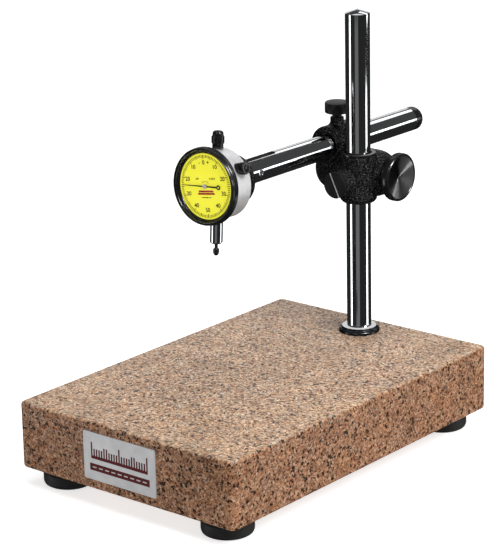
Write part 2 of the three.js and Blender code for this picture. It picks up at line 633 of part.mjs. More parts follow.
function coil({ x, bottom, top, radius, wire, turns }) {
  const steps = turns * 8;
  const points = [];
  for (let step = 0; step <= steps; step += 1) {
    const angle = 2 * Math.PI * step / 8;
    const height = bottom + (top - bottom) * step / steps;
    points.push(new THREE.Vector3(x + radius * Math.cos(angle), SPINDLE_Y + radius * Math.sin(angle), height));
  }
  const section = new THREE.Shape();
  for (let corner = 0; corner < 4; corner += 1) {
    const angle = 2 * Math.PI * corner / 4;
    if (corner === 0) section.moveTo(wire, 0);
    else section.lineTo(wire * Math.cos(angle), wire * Math.sin(angle));
  }
  section.closePath();
  const path = new THREE.CatmullRomCurve3(points);
  return solid(new THREE.ExtrudeGeometry(section, { steps, extrudePath: path, bevelEnabled: false }));
}

function springPost() {
  const post = alongY(rod(0.8, SPINDLE_Y - 2, REAR_PLATE[0] - 0.1, TINY));
  return solid(post.translate(SPRING.x, 0, SPRING.bottom - 1.6));
}

const pillarPlaces = [[-18, 8], [18, 8], [14, -14.5]];

function movementPlate([from, to]) {
  return solid(alongY(rod(PLATE_RADIUS, from, to, 24)));
}

function frontPlate() {
  const collar = solid(alongY(rod(1.6, FRONT_PLATE[0], -45.5, TINY)));
  const bore = solid(alongY(rod(ARBOR_RADIUS + 0.2, -60, -40, TINY)));
  let plate = movementPlate(FRONT_PLATE).add(collar).subtract(bore);
  for (const { x, z } of [RACK_PINION, TAKEUP]) {
    const hole = alongY(rod(ARBOR_RADIUS + 0.15, -60, -40, TINY)).translate(x, 0, z);
    plate = plate.subtract(solid(hole));
  }
  return plate;
}

function rearPlate() {
  let plate = movementPlate(REAR_PLATE);
  for (const { x, z } of [RACK_PINION, TAKEUP]) {
    const hole = alongY(rod(ARBOR_RADIUS + 0.15, -60, 0, TINY)).translate(x, 0, z);
    plate = plate.subtract(solid(hole));
  }
  return plate;
}

function pillar(x, z) {
  const post = alongY(rod(1.6, FRONT_PLATE[1] + 0.1, REAR_PLATE[0] - 0.1, TINY));
  return solid(post.translate(x, 0, z));
}

function arbor() {
  return solid(alongY(rod(ARBOR_RADIUS, FRONT_PLATE[0] + 0.2, REAR_PLATE[1] - 0.2, TINY)));
}

function rackPinion() {
  const { x, z } = RACK_PINION;
  const pinion = gear(RACK_PINION, [-41.2, -36.8]);
  const wheel = gear(DRIVE_GEAR, GEAR_LAYER);
  return arbor().add(pinion).add(wheel).translate([x, 0, z]);
}

function centreArbor() {
  const shaft = solid(alongY(rod(ARBOR_RADIUS, HAND_Y, GEAR_LAYER[1], TINY)));
  return shaft.add(gear(CENTRE_PINION, GEAR_LAYER, 0.3));
}

function takeupGear() {
  return arbor().add(gear(TAKEUP, GEAR_LAYER)).translate([TAKEUP.x, 0, TAKEUP.z]);
}

// A flat spiral of ribbon round the take-up arbor.
function hairspring() {
  const turns = 3;
  const steps = turns * 12;
  const start = 1.2;
  const pitch = 0.9;
  const width = 0.2;
  const at = (step, offset) => {
    const angle = 2 * Math.PI * step / 12;
    const out = start + pitch * step / 12 + offset;
    return [out * Math.cos(angle), out * Math.sin(angle)];
  };
  const outline = new THREE.Shape();
  outline.moveTo(...at(0, 0));
  for (let step = 1; step <= steps; step += 1) outline.lineTo(...at(step, 0));
  for (let step = steps; step >= 0; step -= 1) outline.lineTo(...at(step, width));
  outline.closePath();
  const ribbon = new THREE.ExtrudeGeometry(outline, { depth: 0.7, bevelEnabled: false });
  return solid(alongY(ribbon.translate(0, 0, -35.6)).translate(TAKEUP.x, 0, TAKEUP.z));
}

const HAND_Y = DIAL_Y - 1;
const HAND_EYE = 11.8; // where the eye on the short end begins
const HAND_ANGLE = THREE.MathUtils.degToRad(174.8); // points to the left and slightly down

function hand() {
  const outline = new THREE.Shape();
  outline.moveTo(1.4, 0.45);
  outline.lineTo(21.8, 0.12);
  outline.lineTo(21.8, -0.12);
  outline.lineTo(1.4, -0.45);
  outline.absarc(0, 0, 1.5, -0.3, -Math.PI + 0.3, true);
  outline.lineTo(0.4 - HAND_EYE, -0.45);
  outline.absarc(-1 - HAND_EYE, 0, 1.5, -0.3, 0.3, true);
  outline.lineTo(-1.4, 0.45);
  outline.absarc(0, 0, 1.5, Math.PI - 0.3, 0.3, true);
  outline.closePath();
  const blade = new THREE.ExtrudeGeometry(outline, { depth: 0.3, curveSegments: 6, bevelEnabled: false });
  const body = solid(alongY(blade.translate(0, 0, HAND_Y)).rotateY(HAND_ANGLE));
  const bore = solid(alongY(rod(ARBOR_RADIUS + 0.1, -70, -40, TINY)));
  const eye = solid(alongY(rod(0.8, -70, -40, TINY)).translate(-1 - HAND_EYE, 0, 0).rotateY(HAND_ANGLE));
  return body.subtract(bore).subtract(eye);
}

function handHub() {
  const hub = rod(1.7, HAND_Y - 0.9, HAND_Y - 0.1, FEW);
  return solid(alongY(hub));
}

// ---- Assembly ----
add(group, 'granite_plate', granitePlate(), GRANITE);
for (const [place, [x, y]] of footPlaces) {
  add(group, `foot_${place}`, rubberFoot(x, y), RUBBER);
  add(group, `foot_screw_${place}`, footScrew(x, y), STEEL);
}
add(group, 'label_plate', labelPlate(), PLATE_METAL);
add(group, 'column_insert', columnInsert(), BLACK);
add(group, 'column', column(), CHROME);
add(group, 'column_liner', splitLiner(HUB_BOTTOM + 3, HUB_TOP - 3).translate([0, COLUMN_Y, 0]), CASTING);
add(group, 'column_clamp', columnClamp(), CASTING);
add(group, 'clamp_bolt', clampBolt(), STEEL);
add(group, 'clamp_washer', clampWasher(), STEEL);
add(group, 'clamp_knob', clampKnob(), BLACK);
add(group, 'friction_screw', frictionScrew(), BLACK);
add(group, 'arm_clamp', armClamp(), CASTING);
const armLiner = splitLiner(SLEEVE_FRONT + 3, SLEEVE_BACK - 3).rotate([-90, 0, 0]);
add(group, 'arm_liner', armLiner.translate([ARM_X, 0, ARM_Z]), CASTING);
add(group, 'arm_lock_knob', armLockKnob(), BLACK);
add(group, 'arm', arm(), CHROME);
add(group, 'arm_end_cap', armEndCap(), BLACK);
add(group, 'lug_screw', lugScrew(), STEEL);

group.add(lugGroup);
add(indicator, 'indicator_case', indicatorCase(), SATIN);
add(indicator, 'back_cover', backCover(), CASTING);
coverScrewPlaces.forEach(([x, z], index) => {
  add(indicator, `cover_screw_${index + 1}`, coverScrew(x, z), STEEL);
});
add(indicator, 'stem', stem(), STEEL);
add(indicator, 'top_bushing', topBushing(), STEEL);
add(indicator, 'dust_cap', dustCap(), BLACK);
add(indicator, 'bezel', bezel(), BLACK);
add(indicator, 'crystal', crystal(), CRYSTAL);
add(indicator, 'dial_ring', dialRing(), BLACK);
add(indicator, 'dial_face', dialFace(), DIAL);
add(indicator, 'bezel_clamp_block', bezelClampBlock(), BLACK);
add(indicator, 'bezel_clamp_screw', bezelClampScrew(), BLACK);

add(indicator, 'spindle', spindle(), STEEL);
add(indicator, 'contact_point', contactPoint(), BLACK);
add(indicator, 'guide_pin', guidePin(), STEEL);
add(indicator, 'guide_rail', guideRail(), BRASS);
add(indicator, 'return_spring', coil(SPRING), STEEL);
add(indicator, 'spring_post', springPost(), STEEL);
add(indicator, 'front_plate', frontPlate(), BRASS);
add(indicator, 'rear_plate', rearPlate(), BRASS);
pillarPlaces.forEach(([x, z], index) => add(indicator, `pillar_${index + 1}`, pillar(x, z), BRASS));
add(indicator, 'rack_pinion', rackPinion(), BRASS);
add(indicator, 'centre_arbor', centreArbor(), BRASS);
add(indicator, 'takeup_gear', takeupGear(), BRASS);
add(indicator, 'hairspring', hairspring(), STEEL);
add(indicator, 'hand', hand(), BLACK);
add(indicator, 'hand_hub', handHub(), SATIN);

export default group;
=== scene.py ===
"""Looks for a dial comparator: a granite base, a column, a swivel clamp, and an arm with a dial indicator."""
import json
import math

import bmesh
import bpy
from mathutils import Matrix, Vector


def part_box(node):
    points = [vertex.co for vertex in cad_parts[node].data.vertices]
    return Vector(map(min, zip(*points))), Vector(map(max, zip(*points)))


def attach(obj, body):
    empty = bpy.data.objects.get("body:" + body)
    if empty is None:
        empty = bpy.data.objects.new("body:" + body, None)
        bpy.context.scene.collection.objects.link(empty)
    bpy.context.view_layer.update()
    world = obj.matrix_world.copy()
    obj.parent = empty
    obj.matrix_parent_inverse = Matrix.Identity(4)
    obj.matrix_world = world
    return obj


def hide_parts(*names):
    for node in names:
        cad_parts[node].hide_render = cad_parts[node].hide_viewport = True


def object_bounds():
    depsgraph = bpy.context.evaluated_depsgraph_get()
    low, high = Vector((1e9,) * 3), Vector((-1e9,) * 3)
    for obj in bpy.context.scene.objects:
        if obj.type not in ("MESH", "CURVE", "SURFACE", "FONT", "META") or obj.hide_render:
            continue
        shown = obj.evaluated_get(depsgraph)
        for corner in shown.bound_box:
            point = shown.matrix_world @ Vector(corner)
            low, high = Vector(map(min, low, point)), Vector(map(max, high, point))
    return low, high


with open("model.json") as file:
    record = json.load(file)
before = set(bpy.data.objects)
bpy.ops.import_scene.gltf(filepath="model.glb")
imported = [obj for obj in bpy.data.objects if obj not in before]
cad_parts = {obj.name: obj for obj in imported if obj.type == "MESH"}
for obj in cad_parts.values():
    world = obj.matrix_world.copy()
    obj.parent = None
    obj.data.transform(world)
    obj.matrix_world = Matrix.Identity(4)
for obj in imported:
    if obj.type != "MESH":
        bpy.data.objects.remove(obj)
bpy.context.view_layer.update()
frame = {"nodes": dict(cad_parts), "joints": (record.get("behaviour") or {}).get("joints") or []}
joints = {joint["name"]: joint for joint in frame["joints"]}
MM = 0.001
SHARP = math.radians(32)
SPECULAR = "Specular IOR Level"

# Sizes in millimetres that several pieces share
CASTING_BORE = 10.575
BOLT_HOLE = 4.2
PIN_HOLE = 2.55
LABEL_PRINT = (-0.15, -0.08)
SLOT_LEAN = math.radians(25)
DIAL_TURN = math.radians(8.5)
FIGURE_RING = 17.6

# ---- Places: a turned shape is drawn round its local Z, in millimetres ----
ALONG_X = Matrix.Rotation(math.pi / 2, 4, "Y")
ALONG_Y = Matrix.Rotation(-math.pi / 2, 4, "X")
FACING = Matrix.Rotation(math.pi / 2, 4, "X")  # drawn in XY, seen from the front


def at(x=0.0, y=0.0, z=0.0):
    return Matrix.Translation(Vector((x, y, z)) * MM)


def spot(joint):
    return Vector(joints[joint]["pos_m"]) / MM


def span(node, axis):
    return tuple(corner[axis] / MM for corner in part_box(node))


def radius_of(node, axis=0):
    low, high = span(node, axis)
    return (high - low) / 2


def off_axis(point):
    return math.hypot(point.x, point.y)


def middle(node):
    low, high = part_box(node)
    return (low + high) / 2 / MM


def dial_frame():
    """The indicator's tilted frame, level with the lug pin: X right, Y back, Z up along the spindle."""
    up = Vector(joints["spindle_slide"]["axis"]).normalized()
    right = Vector((1, 0, 0))
    back = up.cross(right)
    pin, dial = spot("indicator_tilt"), spot("hand_turn")
    origin = pin - up * (pin - dial).dot(up)
    turn = Matrix((right, back, up)).transposed().to_4x4()
    return Matrix.Translation(origin * MM) @ turn


COLUMN = at(*middle("column").xy, 0)
BOLT = at(0, spot("arm_tilt").y, spot("arm_tilt").z) @ ALONG_X
ARM = at(spot("arm_roll").x, 0, spot("arm_roll").z) @ ALONG_Y
LOCK = at(spot("arm_lock_turn").x, spot("arm_lock_turn").y, 0)
SCREW = at(spot("friction_screw_turn").x, 0, spot("friction_screw_turn").z) @ ALONG_Y
DIAL = dial_frame()
DIAL_AXIS = DIAL @ ALONG_Y


def dial_box(node):
    """Lowest and highest corner of a CAD node in the indicator's frame, in millimetres."""
    inverse = DIAL.inverted()
    points = [inverse @ vertex.co / MM for vertex in frame["nodes"][node].data.vertices]
    low = Vector(min(point[axis] for point in points) for axis in range(3))
    high = Vector(max(point[axis] for point in points) for axis in range(3))
    return low, high


SPINDLE = DIAL @ at(0, sum(corner.y for corner in dial_box("stem")) / 2, 0)


# ---- Procedural materials ----
def new_material(name, color, metallic=0.0, roughness=0.5, **sockets):
    material = bpy.data.materials.new(name)
    material.use_nodes = True
    inputs = material.node_tree.nodes["Principled BSDF"].inputs
    values = {"Base Color": (*color, 1), "Metallic": metallic, "Roughness": roughness, **sockets}
    for socket, value in values.items():
        inputs[socket].default_value = value
    return material


def feed(material, socket, output):
    """Links an output to a socket of the material's main shader."""
    shader = material.node_tree.nodes["Principled BSDF"]
    material.node_tree.links.new(output, shader.inputs[socket])


def node(material, kind, inputs=None, **settings):
    """Adds a node to a material or the world. An input's value is a socket to link or a value to set."""
    tree = material.node_tree
    made = tree.nodes.new(kind)
    for name, value in settings.items():
        setattr(made, name, value)
    for name, value in (inputs or {}).items():
        if isinstance(value, bpy.types.NodeSocket):
            tree.links.new(value, made.inputs[name])
        else:
            made.inputs[name].default_value = value
    return made


def ramp(material, factor, stops, interpolation="LINEAR"):
    made = node(material, "ShaderNodeValToRGB", {"Fac": factor})
    made.color_ramp.interpolation = interpolation
    elements = made.color_ramp.elements
    while len(elements) < len(stops):
        elements.new(1.0)
    for element, (position, color) in zip(elements, stops):
        element.position = position
        element.color = (*color, 1) if isinstance(color, tuple) else (color, color, color, 1)
    return made.outputs["Color"]


def coordinates(material, scale=(1, 1, 1)):
    place = node(material, "ShaderNodeTexCoord").outputs["Object"]
    return node(material, "ShaderNodeMapping", {"Vector": place, "Scale": scale}).outputs["Vector"]


def noise(material, vector, scale, detail=3.0, roughness=0.5):
    inputs = {"Vector": vector, "Scale": scale, "Detail": detail, "Roughness": roughness}
    return node(material, "ShaderNodeTexNoise", inputs).outputs["Fac"]


def bump(material, height, distance, strength=1.0):
    made = node(material, "ShaderNodeBump", {"Height": height, "Distance": distance, "Strength": strength})
    feed(material, "Normal", made.outputs["Normal"])


def cells(material, vector, scale, channel):
    """A random value for each cell of a Voronoi pattern."""
    made = node(material, "ShaderNodeTexVoronoi", {"Vector": vector, "Scale": scale})
    return node(material, "ShaderNodeSeparateColor", {"Color": made.outputs["Color"]}).outputs[channel]


def vary(material, socket, factor, low, high):
    made = node(material, "ShaderNodeMapRange", {"Value": factor, "To Min": low, "To Max": high})
    feed(material, socket, made.outputs["Result"])


def tint(material, factor, stops, interpolation="LINEAR"):
    feed(material, "Base Color", ramp(material, factor, stops, interpolation))


def granite():
    """Pink-brown granite: grains about 1.4 mm across with dark flecks. Upward faces are painted paler and
    whiter, a painted sheen that is partly the paler tone of a lapped top; the sides are painted darker and
    warmer, painted shade.
    """
    material = new_material("granite", (0.24, 0.14, 0.095))
    plain = coordinates(material)
    wobble = node(material, "ShaderNodeTexNoise", {"Vector": plain, "Scale": 500.0, "Detail": 2.0})
    shift = node(material, "ShaderNodeVectorMath", {0: wobble.outputs["Color"], 1: (0.0018, 0.0018, 0.0018)})
    shift.operation = "MULTIPLY"
    bent = node(material, "ShaderNodeVectorMath", {0: plain, 1: shift.outputs["Vector"]}).outputs["Vector"]
    pick = cells(material, bent, 740.0, "Red")
    color = ramp(material, pick, [
        (0.0, (0.02, 0.013, 0.01)), (0.05, (0.14, 0.042, 0.018)), (0.12, (0.18, 0.13, 0.10)),
        (0.18, (0.22, 0.105, 0.053)), (0.40, (0.29, 0.16, 0.088)), (0.68, (0.37, 0.225, 0.13)),
        (0.90, (0.44, 0.30, 0.20)),
    ], "CONSTANT")
    speck = cells(material, bent, 1400.0, "Green")
    fine = ramp(material, speck, [(0.0, 0.18), (0.06, 0.55), (0.14, 1.0), (0.8, 1.14)], "CONSTANT")
    flake = cells(material, bent, 470.0, "Blue")
    dark = ramp(material, flake, [(0.0, 0.1), (0.06, 0.45), (0.11, 1.0), (0.9, 1.14)], "CONSTANT")
    clouds = ramp(material, noise(material, plain, 30.0, 5.0, 0.6), [(0.3, 0.8), (0.7, 1.13)])
    patches = noise(material, plain, 75.0, 3.0)
    warm = ramp(material, patches, [(0.35, (1.04, 0.98, 0.93)), (0.65, (0.97, 1.0, 1.06))])
    normal = node(material, "ShaderNodeTexCoord").outputs["Normal"]
    upward_faces = node(material, "ShaderNodeSeparateXYZ", {"Vector": normal}).outputs["Z"]
    vary(material, SPECULAR, upward_faces, 0.08, 0.5)
    # Painted light: paler, whiter upward faces are a painted sheen, partly a lapped top's paler tone; darker,
    # warmer sides are painted shade.
    top_sheen_and_side_shade = ramp(material, upward_faces, [(0.4, (0.95, 0.88, 0.86)), (0.9, (1.62, 1.9, 2.12))])
    for layer in (fine, dark, clouds, warm, top_sheen_and_side_shade):
        inputs = {0: 1.0, 6: color, 7: layer}  # factor and the two colours
        color = node(material, "ShaderNodeMix", inputs, data_type="RGBA", blend_type="MULTIPLY").outputs[2]
    feed(material, "Base Color", color)
    vary(material, "Roughness", pick, 0.42, 0.3)
    bump(material, noise(material, plain, 1100.0), 0.00012, 0.8)
    return material


def chrome():
    """Ground and chromed rod: a mirror with faint polishing rings and haze."""
    material = new_material("chrome", (0.80, 0.81, 0.83), 1.0, 0.08)
    rings = noise(material, coordinates(material, (40, 40, 2600)), 1.0, 2.0)
    vary(material, "Roughness", noise(material, coordinates(material), 55.0), 0.05, 0.11)
    bump(material, rings, 0.000001, 0.3)
    return material


def turned_steel(name, color, roughness, ring=1800):
    """Bare turned metal with tool rings across its axis."""
    material = new_material(name, color, 1.0, roughness)
    rings = noise(material, coordinates(material, (30, 30, ring)), 1.0, 3.0)
    vary(material, "Roughness", rings, roughness * 0.75, roughness * 1.35)
    bump(material, rings, 0.00001, 0.6)
    shade = noise(material, coordinates(material), 160.0, 4.0)
    tint(material, shade, [(0.3, tuple(0.9 * c for c in color)), (0.7, color)])
    return material


def satin():
    """Satin nickel with a fine circular grain."""
    material = new_material("satin_metal", (0.82, 0.82, 0.83), 0.6, 0.4)
    grain = noise(material, coordinates(material, (260, 260, 2400)), 1.0, 3.0)
    tint(material, grain, [(0.3, (0.66, 0.66, 0.67)), (0.7, (0.78, 0.78, 0.79))])
    vary(material, "Roughness", grain, 0.34, 0.5)
    bump(material, grain, 0.000012, 0.6)
    return material


def casting():
    """Black wrinkle paint over cast iron. Grey flecks are painted sparkle: painted highlights of its coarse
    skin.
    """
    material = new_material("black_wrinkle_paint", (0.004, 0.004, 0.0045), 0.0, 0.24, **{SPECULAR: 0.22})
    plain = coordinates(material)
    wrinkles = node(material, "ShaderNodeTexVoronoi", {"Vector": plain, "Scale": 820.0}, feature="SMOOTH_F1")
    fine = noise(material, plain, 1300.0, 3.0, 0.6)
    height = node(material, "ShaderNodeMath", {0: wrinkles.outputs["Distance"], 1: fine}).outputs["Value"]
    painted_sparkle = noise(material, plain, 950.0, 4.0, 0.7)
    # Painted highlights: grey flecks stand in for glints of light on the coarse skin.
    tint(material, painted_sparkle, [
        (0.5, (0.002, 0.002, 0.0022)), (0.58, (0.012, 0.012, 0.013)), (0.68, (0.12, 0.12, 0.125)),
    ])
    vary(material, "Roughness", fine, 0.1, 0.28)
    bump(material, height, 0.0009, 1.0)
    return material


def black_metal(name, roughness, ring=0, **sockets):
    """Black oxide or lacquer on turned metal; ring adds concentric tool marks."""
    material = new_material(name, (0.008, 0.008, 0.009), 0.0, roughness, **sockets)
    scuffs = noise(material, coordinates(material), 240.0, 4.0, 0.6)
    tint(material, scuffs, [(0.35, (0.005, 0.005, 0.0055)), (0.8, (0.014, 0.014, 0.015))])
    vary(material, "Roughness", scuffs, roughness * 0.75, roughness * 1.3)
    if ring:
        rings = noise(material, coordinates(material, (20, 20, ring)), 1.0, 2.0)
        bump(material, rings, 0.00001, 0.6)
    return material


def turned_face():
    """Black anodised dish with concentric tool rings, whose gloss spreads along the radius."""
    material = new_material("turned_black_face", (0.06, 0.06, 0.062), 1.0, 0.42, Anisotropic=1.0)
    place = node(material, "ShaderNodeTexCoord").outputs["Object"]
    level = node(material, "ShaderNodeVectorMath", {0: place, 1: (1, 1, 0)}, operation="MULTIPLY")
    radius = node(material, "ShaderNodeVectorMath", {0: level.outputs["Vector"]}, operation="LENGTH")
    along = node(material, "ShaderNodeCombineXYZ", {"X": radius.outputs["Value"]}).outputs["Vector"]
    rings = noise(material, along, 5200.0, 2.0)
    tangent = node(material, "ShaderNodeTangent", direction_type="RADIAL", axis="Z").outputs["Tangent"]
    feed(material, "Tangent", tangent)
    tint(material, rings, [(0.3, (0.04, 0.04, 0.041)), (0.7, (0.17, 0.17, 0.172))])
    bump(material, rings, 0.00001, 0.5)
    return material


def rubber():
    material = new_material("black_rubber", (0.02, 0.02, 0.02), 0.0, 0.6)
    skin = noise(material, coordinates(material), 800.0, 5.0, 0.6)
    tint(material, skin, [(0.3, (0.008, 0.008, 0.008)), (0.8, (0.022, 0.022, 0.022))])
    vary(material, "Roughness", skin, 0.45, 0.75)
    bump(material, skin, 0.00006, 0.6)
    return material


def dial_paint():
    # Painted light: the yellow paint glows a little, which brightens the dial though it is no lamp.
    glow = {"Emission Color": (0.92, 0.87, 0.06, 1), "Emission Strength": 0.42}
    material = new_material("glowing_yellow_dial_paint", (0.92, 0.86, 0.04), 0.0, 0.55, **{SPECULAR: 0.15}, **glow)
    tone = noise(material, coordinates(material), 130.0, 4.0)
    tint(material, tone, [(0.3, (0.90, 0.85, 0.035)), (0.7, (0.94, 0.90, 0.045))])
    vary(material, "Roughness", tone, 0.5, 0.6)
    bump(material, noise(material, coordinates(material), 2500.0), 0.00001, 0.3)
    return material


def ink(name, color):
    material = new_material(name, color, 0.0, 0.6, **{SPECULAR: 0.15})
    tone = noise(material, coordinates(material), 900.0, 3.0)
    tint(material, tone, [(0.3, tuple(0.8 * c for c in color)), (0.7, color)])
    return material


def brushed_label():
    material = new_material("brushed_label_metal", (0.72, 0.72, 0.72), 0.35, 0.45)
    brush = noise(material, coordinates(material, (60, 60, 2600)), 1.0, 4.0, 0.6)
    tint(material, brush, [(0.3, (0.48, 0.48, 0.49)), (0.7, (0.62, 0.62, 0.63))])
    vary(material, "Roughness", brush, 0.38, 0.55)
    bump(material, brush, 0.00002, 0.5)
    return material


def crystal_material():
    material = new_material("crystal", (0.02, 0.02, 0.02), 0.0, 0.03, Alpha=0.05)
    haze = noise(material, coordinates(material), 70.0)
    vary(material, "Roughness", haze, 0.02, 0.05)
    return material


GRANITE = granite()
CHROME = chrome()
STEEL = turned_steel("turned_steel", (0.55, 0.56, 0.58), 0.28)
BRIGHT = turned_steel("bright_steel", (0.82, 0.83, 0.84), 0.16, 900)
BRASS = turned_steel("brass", (0.66, 0.47, 0.19), 0.3)
SATIN = satin()
CASTING = casting()
GLOSS = black_metal("black_gloss_lacquer", 0.2, 900)
BLACKENED = black_metal("black_oxide", 0.38, 1400, **{SPECULAR: 0.3})
MATT_BLACK = black_metal("black_oxide_matt", 0.45, 1400, **{SPECULAR: 0.1})
TURNED_FACE = turned_face()
RUBBER = rubber()
GLOWING_DIAL_PAINT = dial_paint()
BLACK_INK = ink("black_ink", (0.012, 0.012, 0.012))
RED_INK = ink("red_ink", (0.55, 0.02, 0.02))
MAROON_INK = ink("maroon_ink", (0.10, 0.012, 0.014))
LABEL_METAL = brushed_label()
CRYSTAL = crystal_material()


# ---- Mesh tools ----
def turned(profile, sides=96, knurl=None):
    """A solid of revolution. A profile that starts off the axis closes on itself.
    knurl=(low, high, depth, crossed) cuts every other facet of the rings between two heights."""
    shape = bmesh.new()
    rings = []
    for row, (radius, height) in enumerate(profile):
        if radius < 1e-6:
            rings.append([shape.verts.new((0, 0, height))])
            continue
        ring = []
        for side in range(sides):
            out = radius
            if knurl and knurl[0] <= height <= knurl[1] and (side + (row if knurl[3] else 0)) % 2:
                out -= knurl[2]
            angle = 2 * math.pi * side / sides
            ring.append(shape.verts.new((out * math.cos(angle), out * math.sin(angle), height)))
        rings.append(ring)
    pairs = list(zip(rings, rings[1:]))
    if profile[0][0] > 1e-6:
        pairs.append((rings[-1], rings[0]))
    for first, second in pairs:
        for side in range(sides):
            after = (side + 1) % sides
            corners = [first[side % len(first)], first[after % len(first)]]
            corners += [second[after % len(second)], second[side % len(second)]]
            shape.faces.new(list(dict.fromkeys(corners)))
    bmesh.ops.recalc_face_normals(shape, faces=shape.faces)
    return shape


def soft(profile, reach=0.25, steps=3):
    """Rounds a profile's corners, apart from its ends on the axis."""
    closed = profile[0][0] > 1e-6
    rounded = []
    for index, point in enumerate(profile):
        if not closed and index in (0, len(profile) - 1):
            rounded.append(point)
            continue
        here = Vector(point)
        before = Vector(profile[index - 1]) - here
        after = Vector(profile[(index + 1) % len(profile)]) - here
        if before.length < 1e-6 or after.length < 1e-6 or before.angle(-after) < 0.2:
            rounded.append(point)
            continue
        start = here + before.normalized() * min(reach, before.length * 0.4)
        end = here + after.normalized() * min(reach, after.length * 0.4)
        for step in range(steps + 1):
            t = step / steps
            rounded.append(tuple(start * (1 - t) ** 2 + here * 2 * t * (1 - t) + end * t * t))
    return rounded


def band(radius, low, high, rows):
    """Profile points up a knurled band."""
    return [(radius, low + (high - low) * row / rows) for row in range(rows + 1)]


def rod(radius, low, high, sides=96):
    return turned([(0, low), (radius, low), (radius, high), (0, high)], sides)


def box_shape(low, high):
    shape = bmesh.new()
    bmesh.ops.create_cube(shape, size=1.0)
    low, high = Vector(low), Vector(high)
    size = high - low
    shape.transform(Matrix.Translation((low + high) / 2) @ Matrix.Diagonal((*size, 1)))
    return shape


def centred_box(half_width, half_depth, low, high):
    return box_shape((-half_width, -half_depth, low), (half_width, half_depth, high))


def flat(outline, low, high):
    """A flat outline drawn in XY, as a slab between two heights."""
    shape = bmesh.new()
    face = shape.faces.new([shape.verts.new((x, y, low)) for x, y in outline])
    raised = bmesh.ops.extrude_face_region(shape, geom=[face])
    moved = [item for item in raised["geom"] if isinstance(item, bmesh.types.BMVert)]
    bmesh.ops.translate(shape, verts=moved, vec=(0, 0, high - low))
    bmesh.ops.recalc_face_normals(shape, faces=shape.faces)
    return shape


def join_rings(shape, rings):
    count = len(rings[0])
    for first, second in zip(rings, rings[1:]):
        for index in range(count):
            after = (index + 1) % count
            shape.faces.new((first[index], first[after], second[after], second[index]))


def rounded_rectangle(half_width, half_height, radius, steps=8):
    points = []
    for corner, (x, y) in enumerate([(1, 1), (-1, 1), (-1, -1), (1, -1)]):
        for step in range(steps + 1):
            angle = math.pi / 2 * (corner + step / steps)
            across = x * (half_width - radius) + radius * math.cos(angle)
            points.append((across, y * (half_height - radius) + radius * math.sin(angle)))
    return points


def mesh_of(name, shape):
    """Makes a mesh of a shape, and frees the shape."""
    mesh = bpy.data.meshes.new(name)
    shape.to_mesh(mesh)
    shape.free()
    return mesh


def add_object(name, data, place=None):
    made = bpy.data.objects.new(name, data)
    bpy.context.scene.collection.objects.link(made)
    made.matrix_world = place or Matrix.Identity(4)
    return made


def solid(name, shape, place=None):
    """Makes an object of a shape drawn in millimetres."""
    shape.transform(Matrix.Scale(MM, 4))
    return add_object(name, mesh_of(name, shape), place)


def bake(target):
    """Applies an object's modifiers to its mesh."""
    bpy.context.view_layer.update()
    graph = bpy.context.evaluated_depsgraph_get()
    mesh = bpy.data.meshes.new_from_object(target.evaluated_get(graph))
    target.modifiers.clear()
    target.data = mesh


def combine(target, others, operation="DIFFERENCE"):
    for other in others:
        step = target.modifiers.new("combine", "BOOLEAN")
        step.object = other
        step.operation = operation
        step.solver = "EXACT"
    bake(target)
    for other in others:
        bpy.data.objects.remove(other)
    return target


def cut_slot(screw, half_width, half_depth, low, high, place):
    combine(screw, [solid("slot", centred_box(half_width, half_depth, low, high), place)])


def cast(name, parts, place, voxel=0.42):
    """Melts overlapping parts into one casting with soft inner corners."""
    shape = bmesh.new()
    bpy.context.view_layer.update()
    for part in parts:
        whole = part.data.copy()
        whole.transform(place.inverted() @ part.matrix_world)
        shape.from_mesh(whole)
        bpy.data.objects.remove(part)
    made = add_object(name, mesh_of(name, shape), place)
    melt = made.modifiers.new("melt", "REMESH")
    melt.mode = "VOXEL"
    melt.voxel_size = voxel * MM
    relax = made.modifiers.new("relax", "SMOOTH")
    relax.factor = 0.5
    relax.iterations = 5
    bake(made)
    return made


def dress(made, material, body, slot, *nodes):
    """Shades a piece, gives it its material, and sets it on its CAD body in place of the CAD nodes."""
    shape = bmesh.new()
    shape.from_mesh(made.data)
    for face in shape.faces:
        face.smooth = True
    for edge in shape.edges:
        edge.smooth = edge.is_manifold and edge.calc_face_angle(0.0) < SHARP
    shape.to_mesh(made.data)
    shape.free()
    if not made.data.materials:
        made.data.materials.append(material)
    else:
        made.data.materials[0] = material
    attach(made, body)
    if nodes:
        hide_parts(*nodes)
    return made


def second_material(made, material, test):
    """Gives the faces whose local centre (in millimetres) passes the test another material."""
    made.data.materials.append(material)
    for face in made.data.polygons:
        if test(face.center / MM):
            face.material_index = 1


# ---- Granite base ----
def build_base():
    low, high = (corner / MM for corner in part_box("granite_plate"))
    half = (high - low) / 2
    corner, bevel, steps = 5.0, 2.2, 6
    heights = [(step / steps, low.z, 1) for step in range(steps + 1)]
    heights += [(1 - step / steps, high.z, -1) for step in range(steps + 1)]
    shape = bmesh.new()
    rings = []
    for part, edge, side in heights:
        angle = math.pi / 2 * part
        inset = bevel * (1 - math.sin(angle))
        height = edge + side * bevel * (1 - math.cos(angle))
        outline = rounded_rectangle(half.x - inset, half.y - inset, corner - inset)
        rings.append([shape.verts.new((x, y, height)) for x, y in outline])
    join_rings(shape, rings)
    shape.faces.new(list(reversed(rings[0])))
    shape.faces.new(rings[-1])
    slab = solid("granite_slab", shape, at(*((low + high) / 2).xy, 0))
    holes = [solid("hole", rod(11.3, span("column_insert", 2)[0] - 0.3, 5), COLUMN)]
    feet = ["front_left", "back_left", "front_right", "back_right"]
    for foot in feet:
        top = span(f"foot_screw_{foot}", 2)[1] + 0.3
        place = at(*middle(f"foot_screw_{foot}").xy, 0)
        holes.append(solid("hole", rod(3.3, low.z - 5, top, 32), place))
    combine(slab, holes)
    dress(slab, GRANITE, "base", "granite", "granite_plate")
    slab.visible_glossy = False  # keeps its colour out of the chrome
    for foot in feet:
        build_foot(foot)
    build_label()


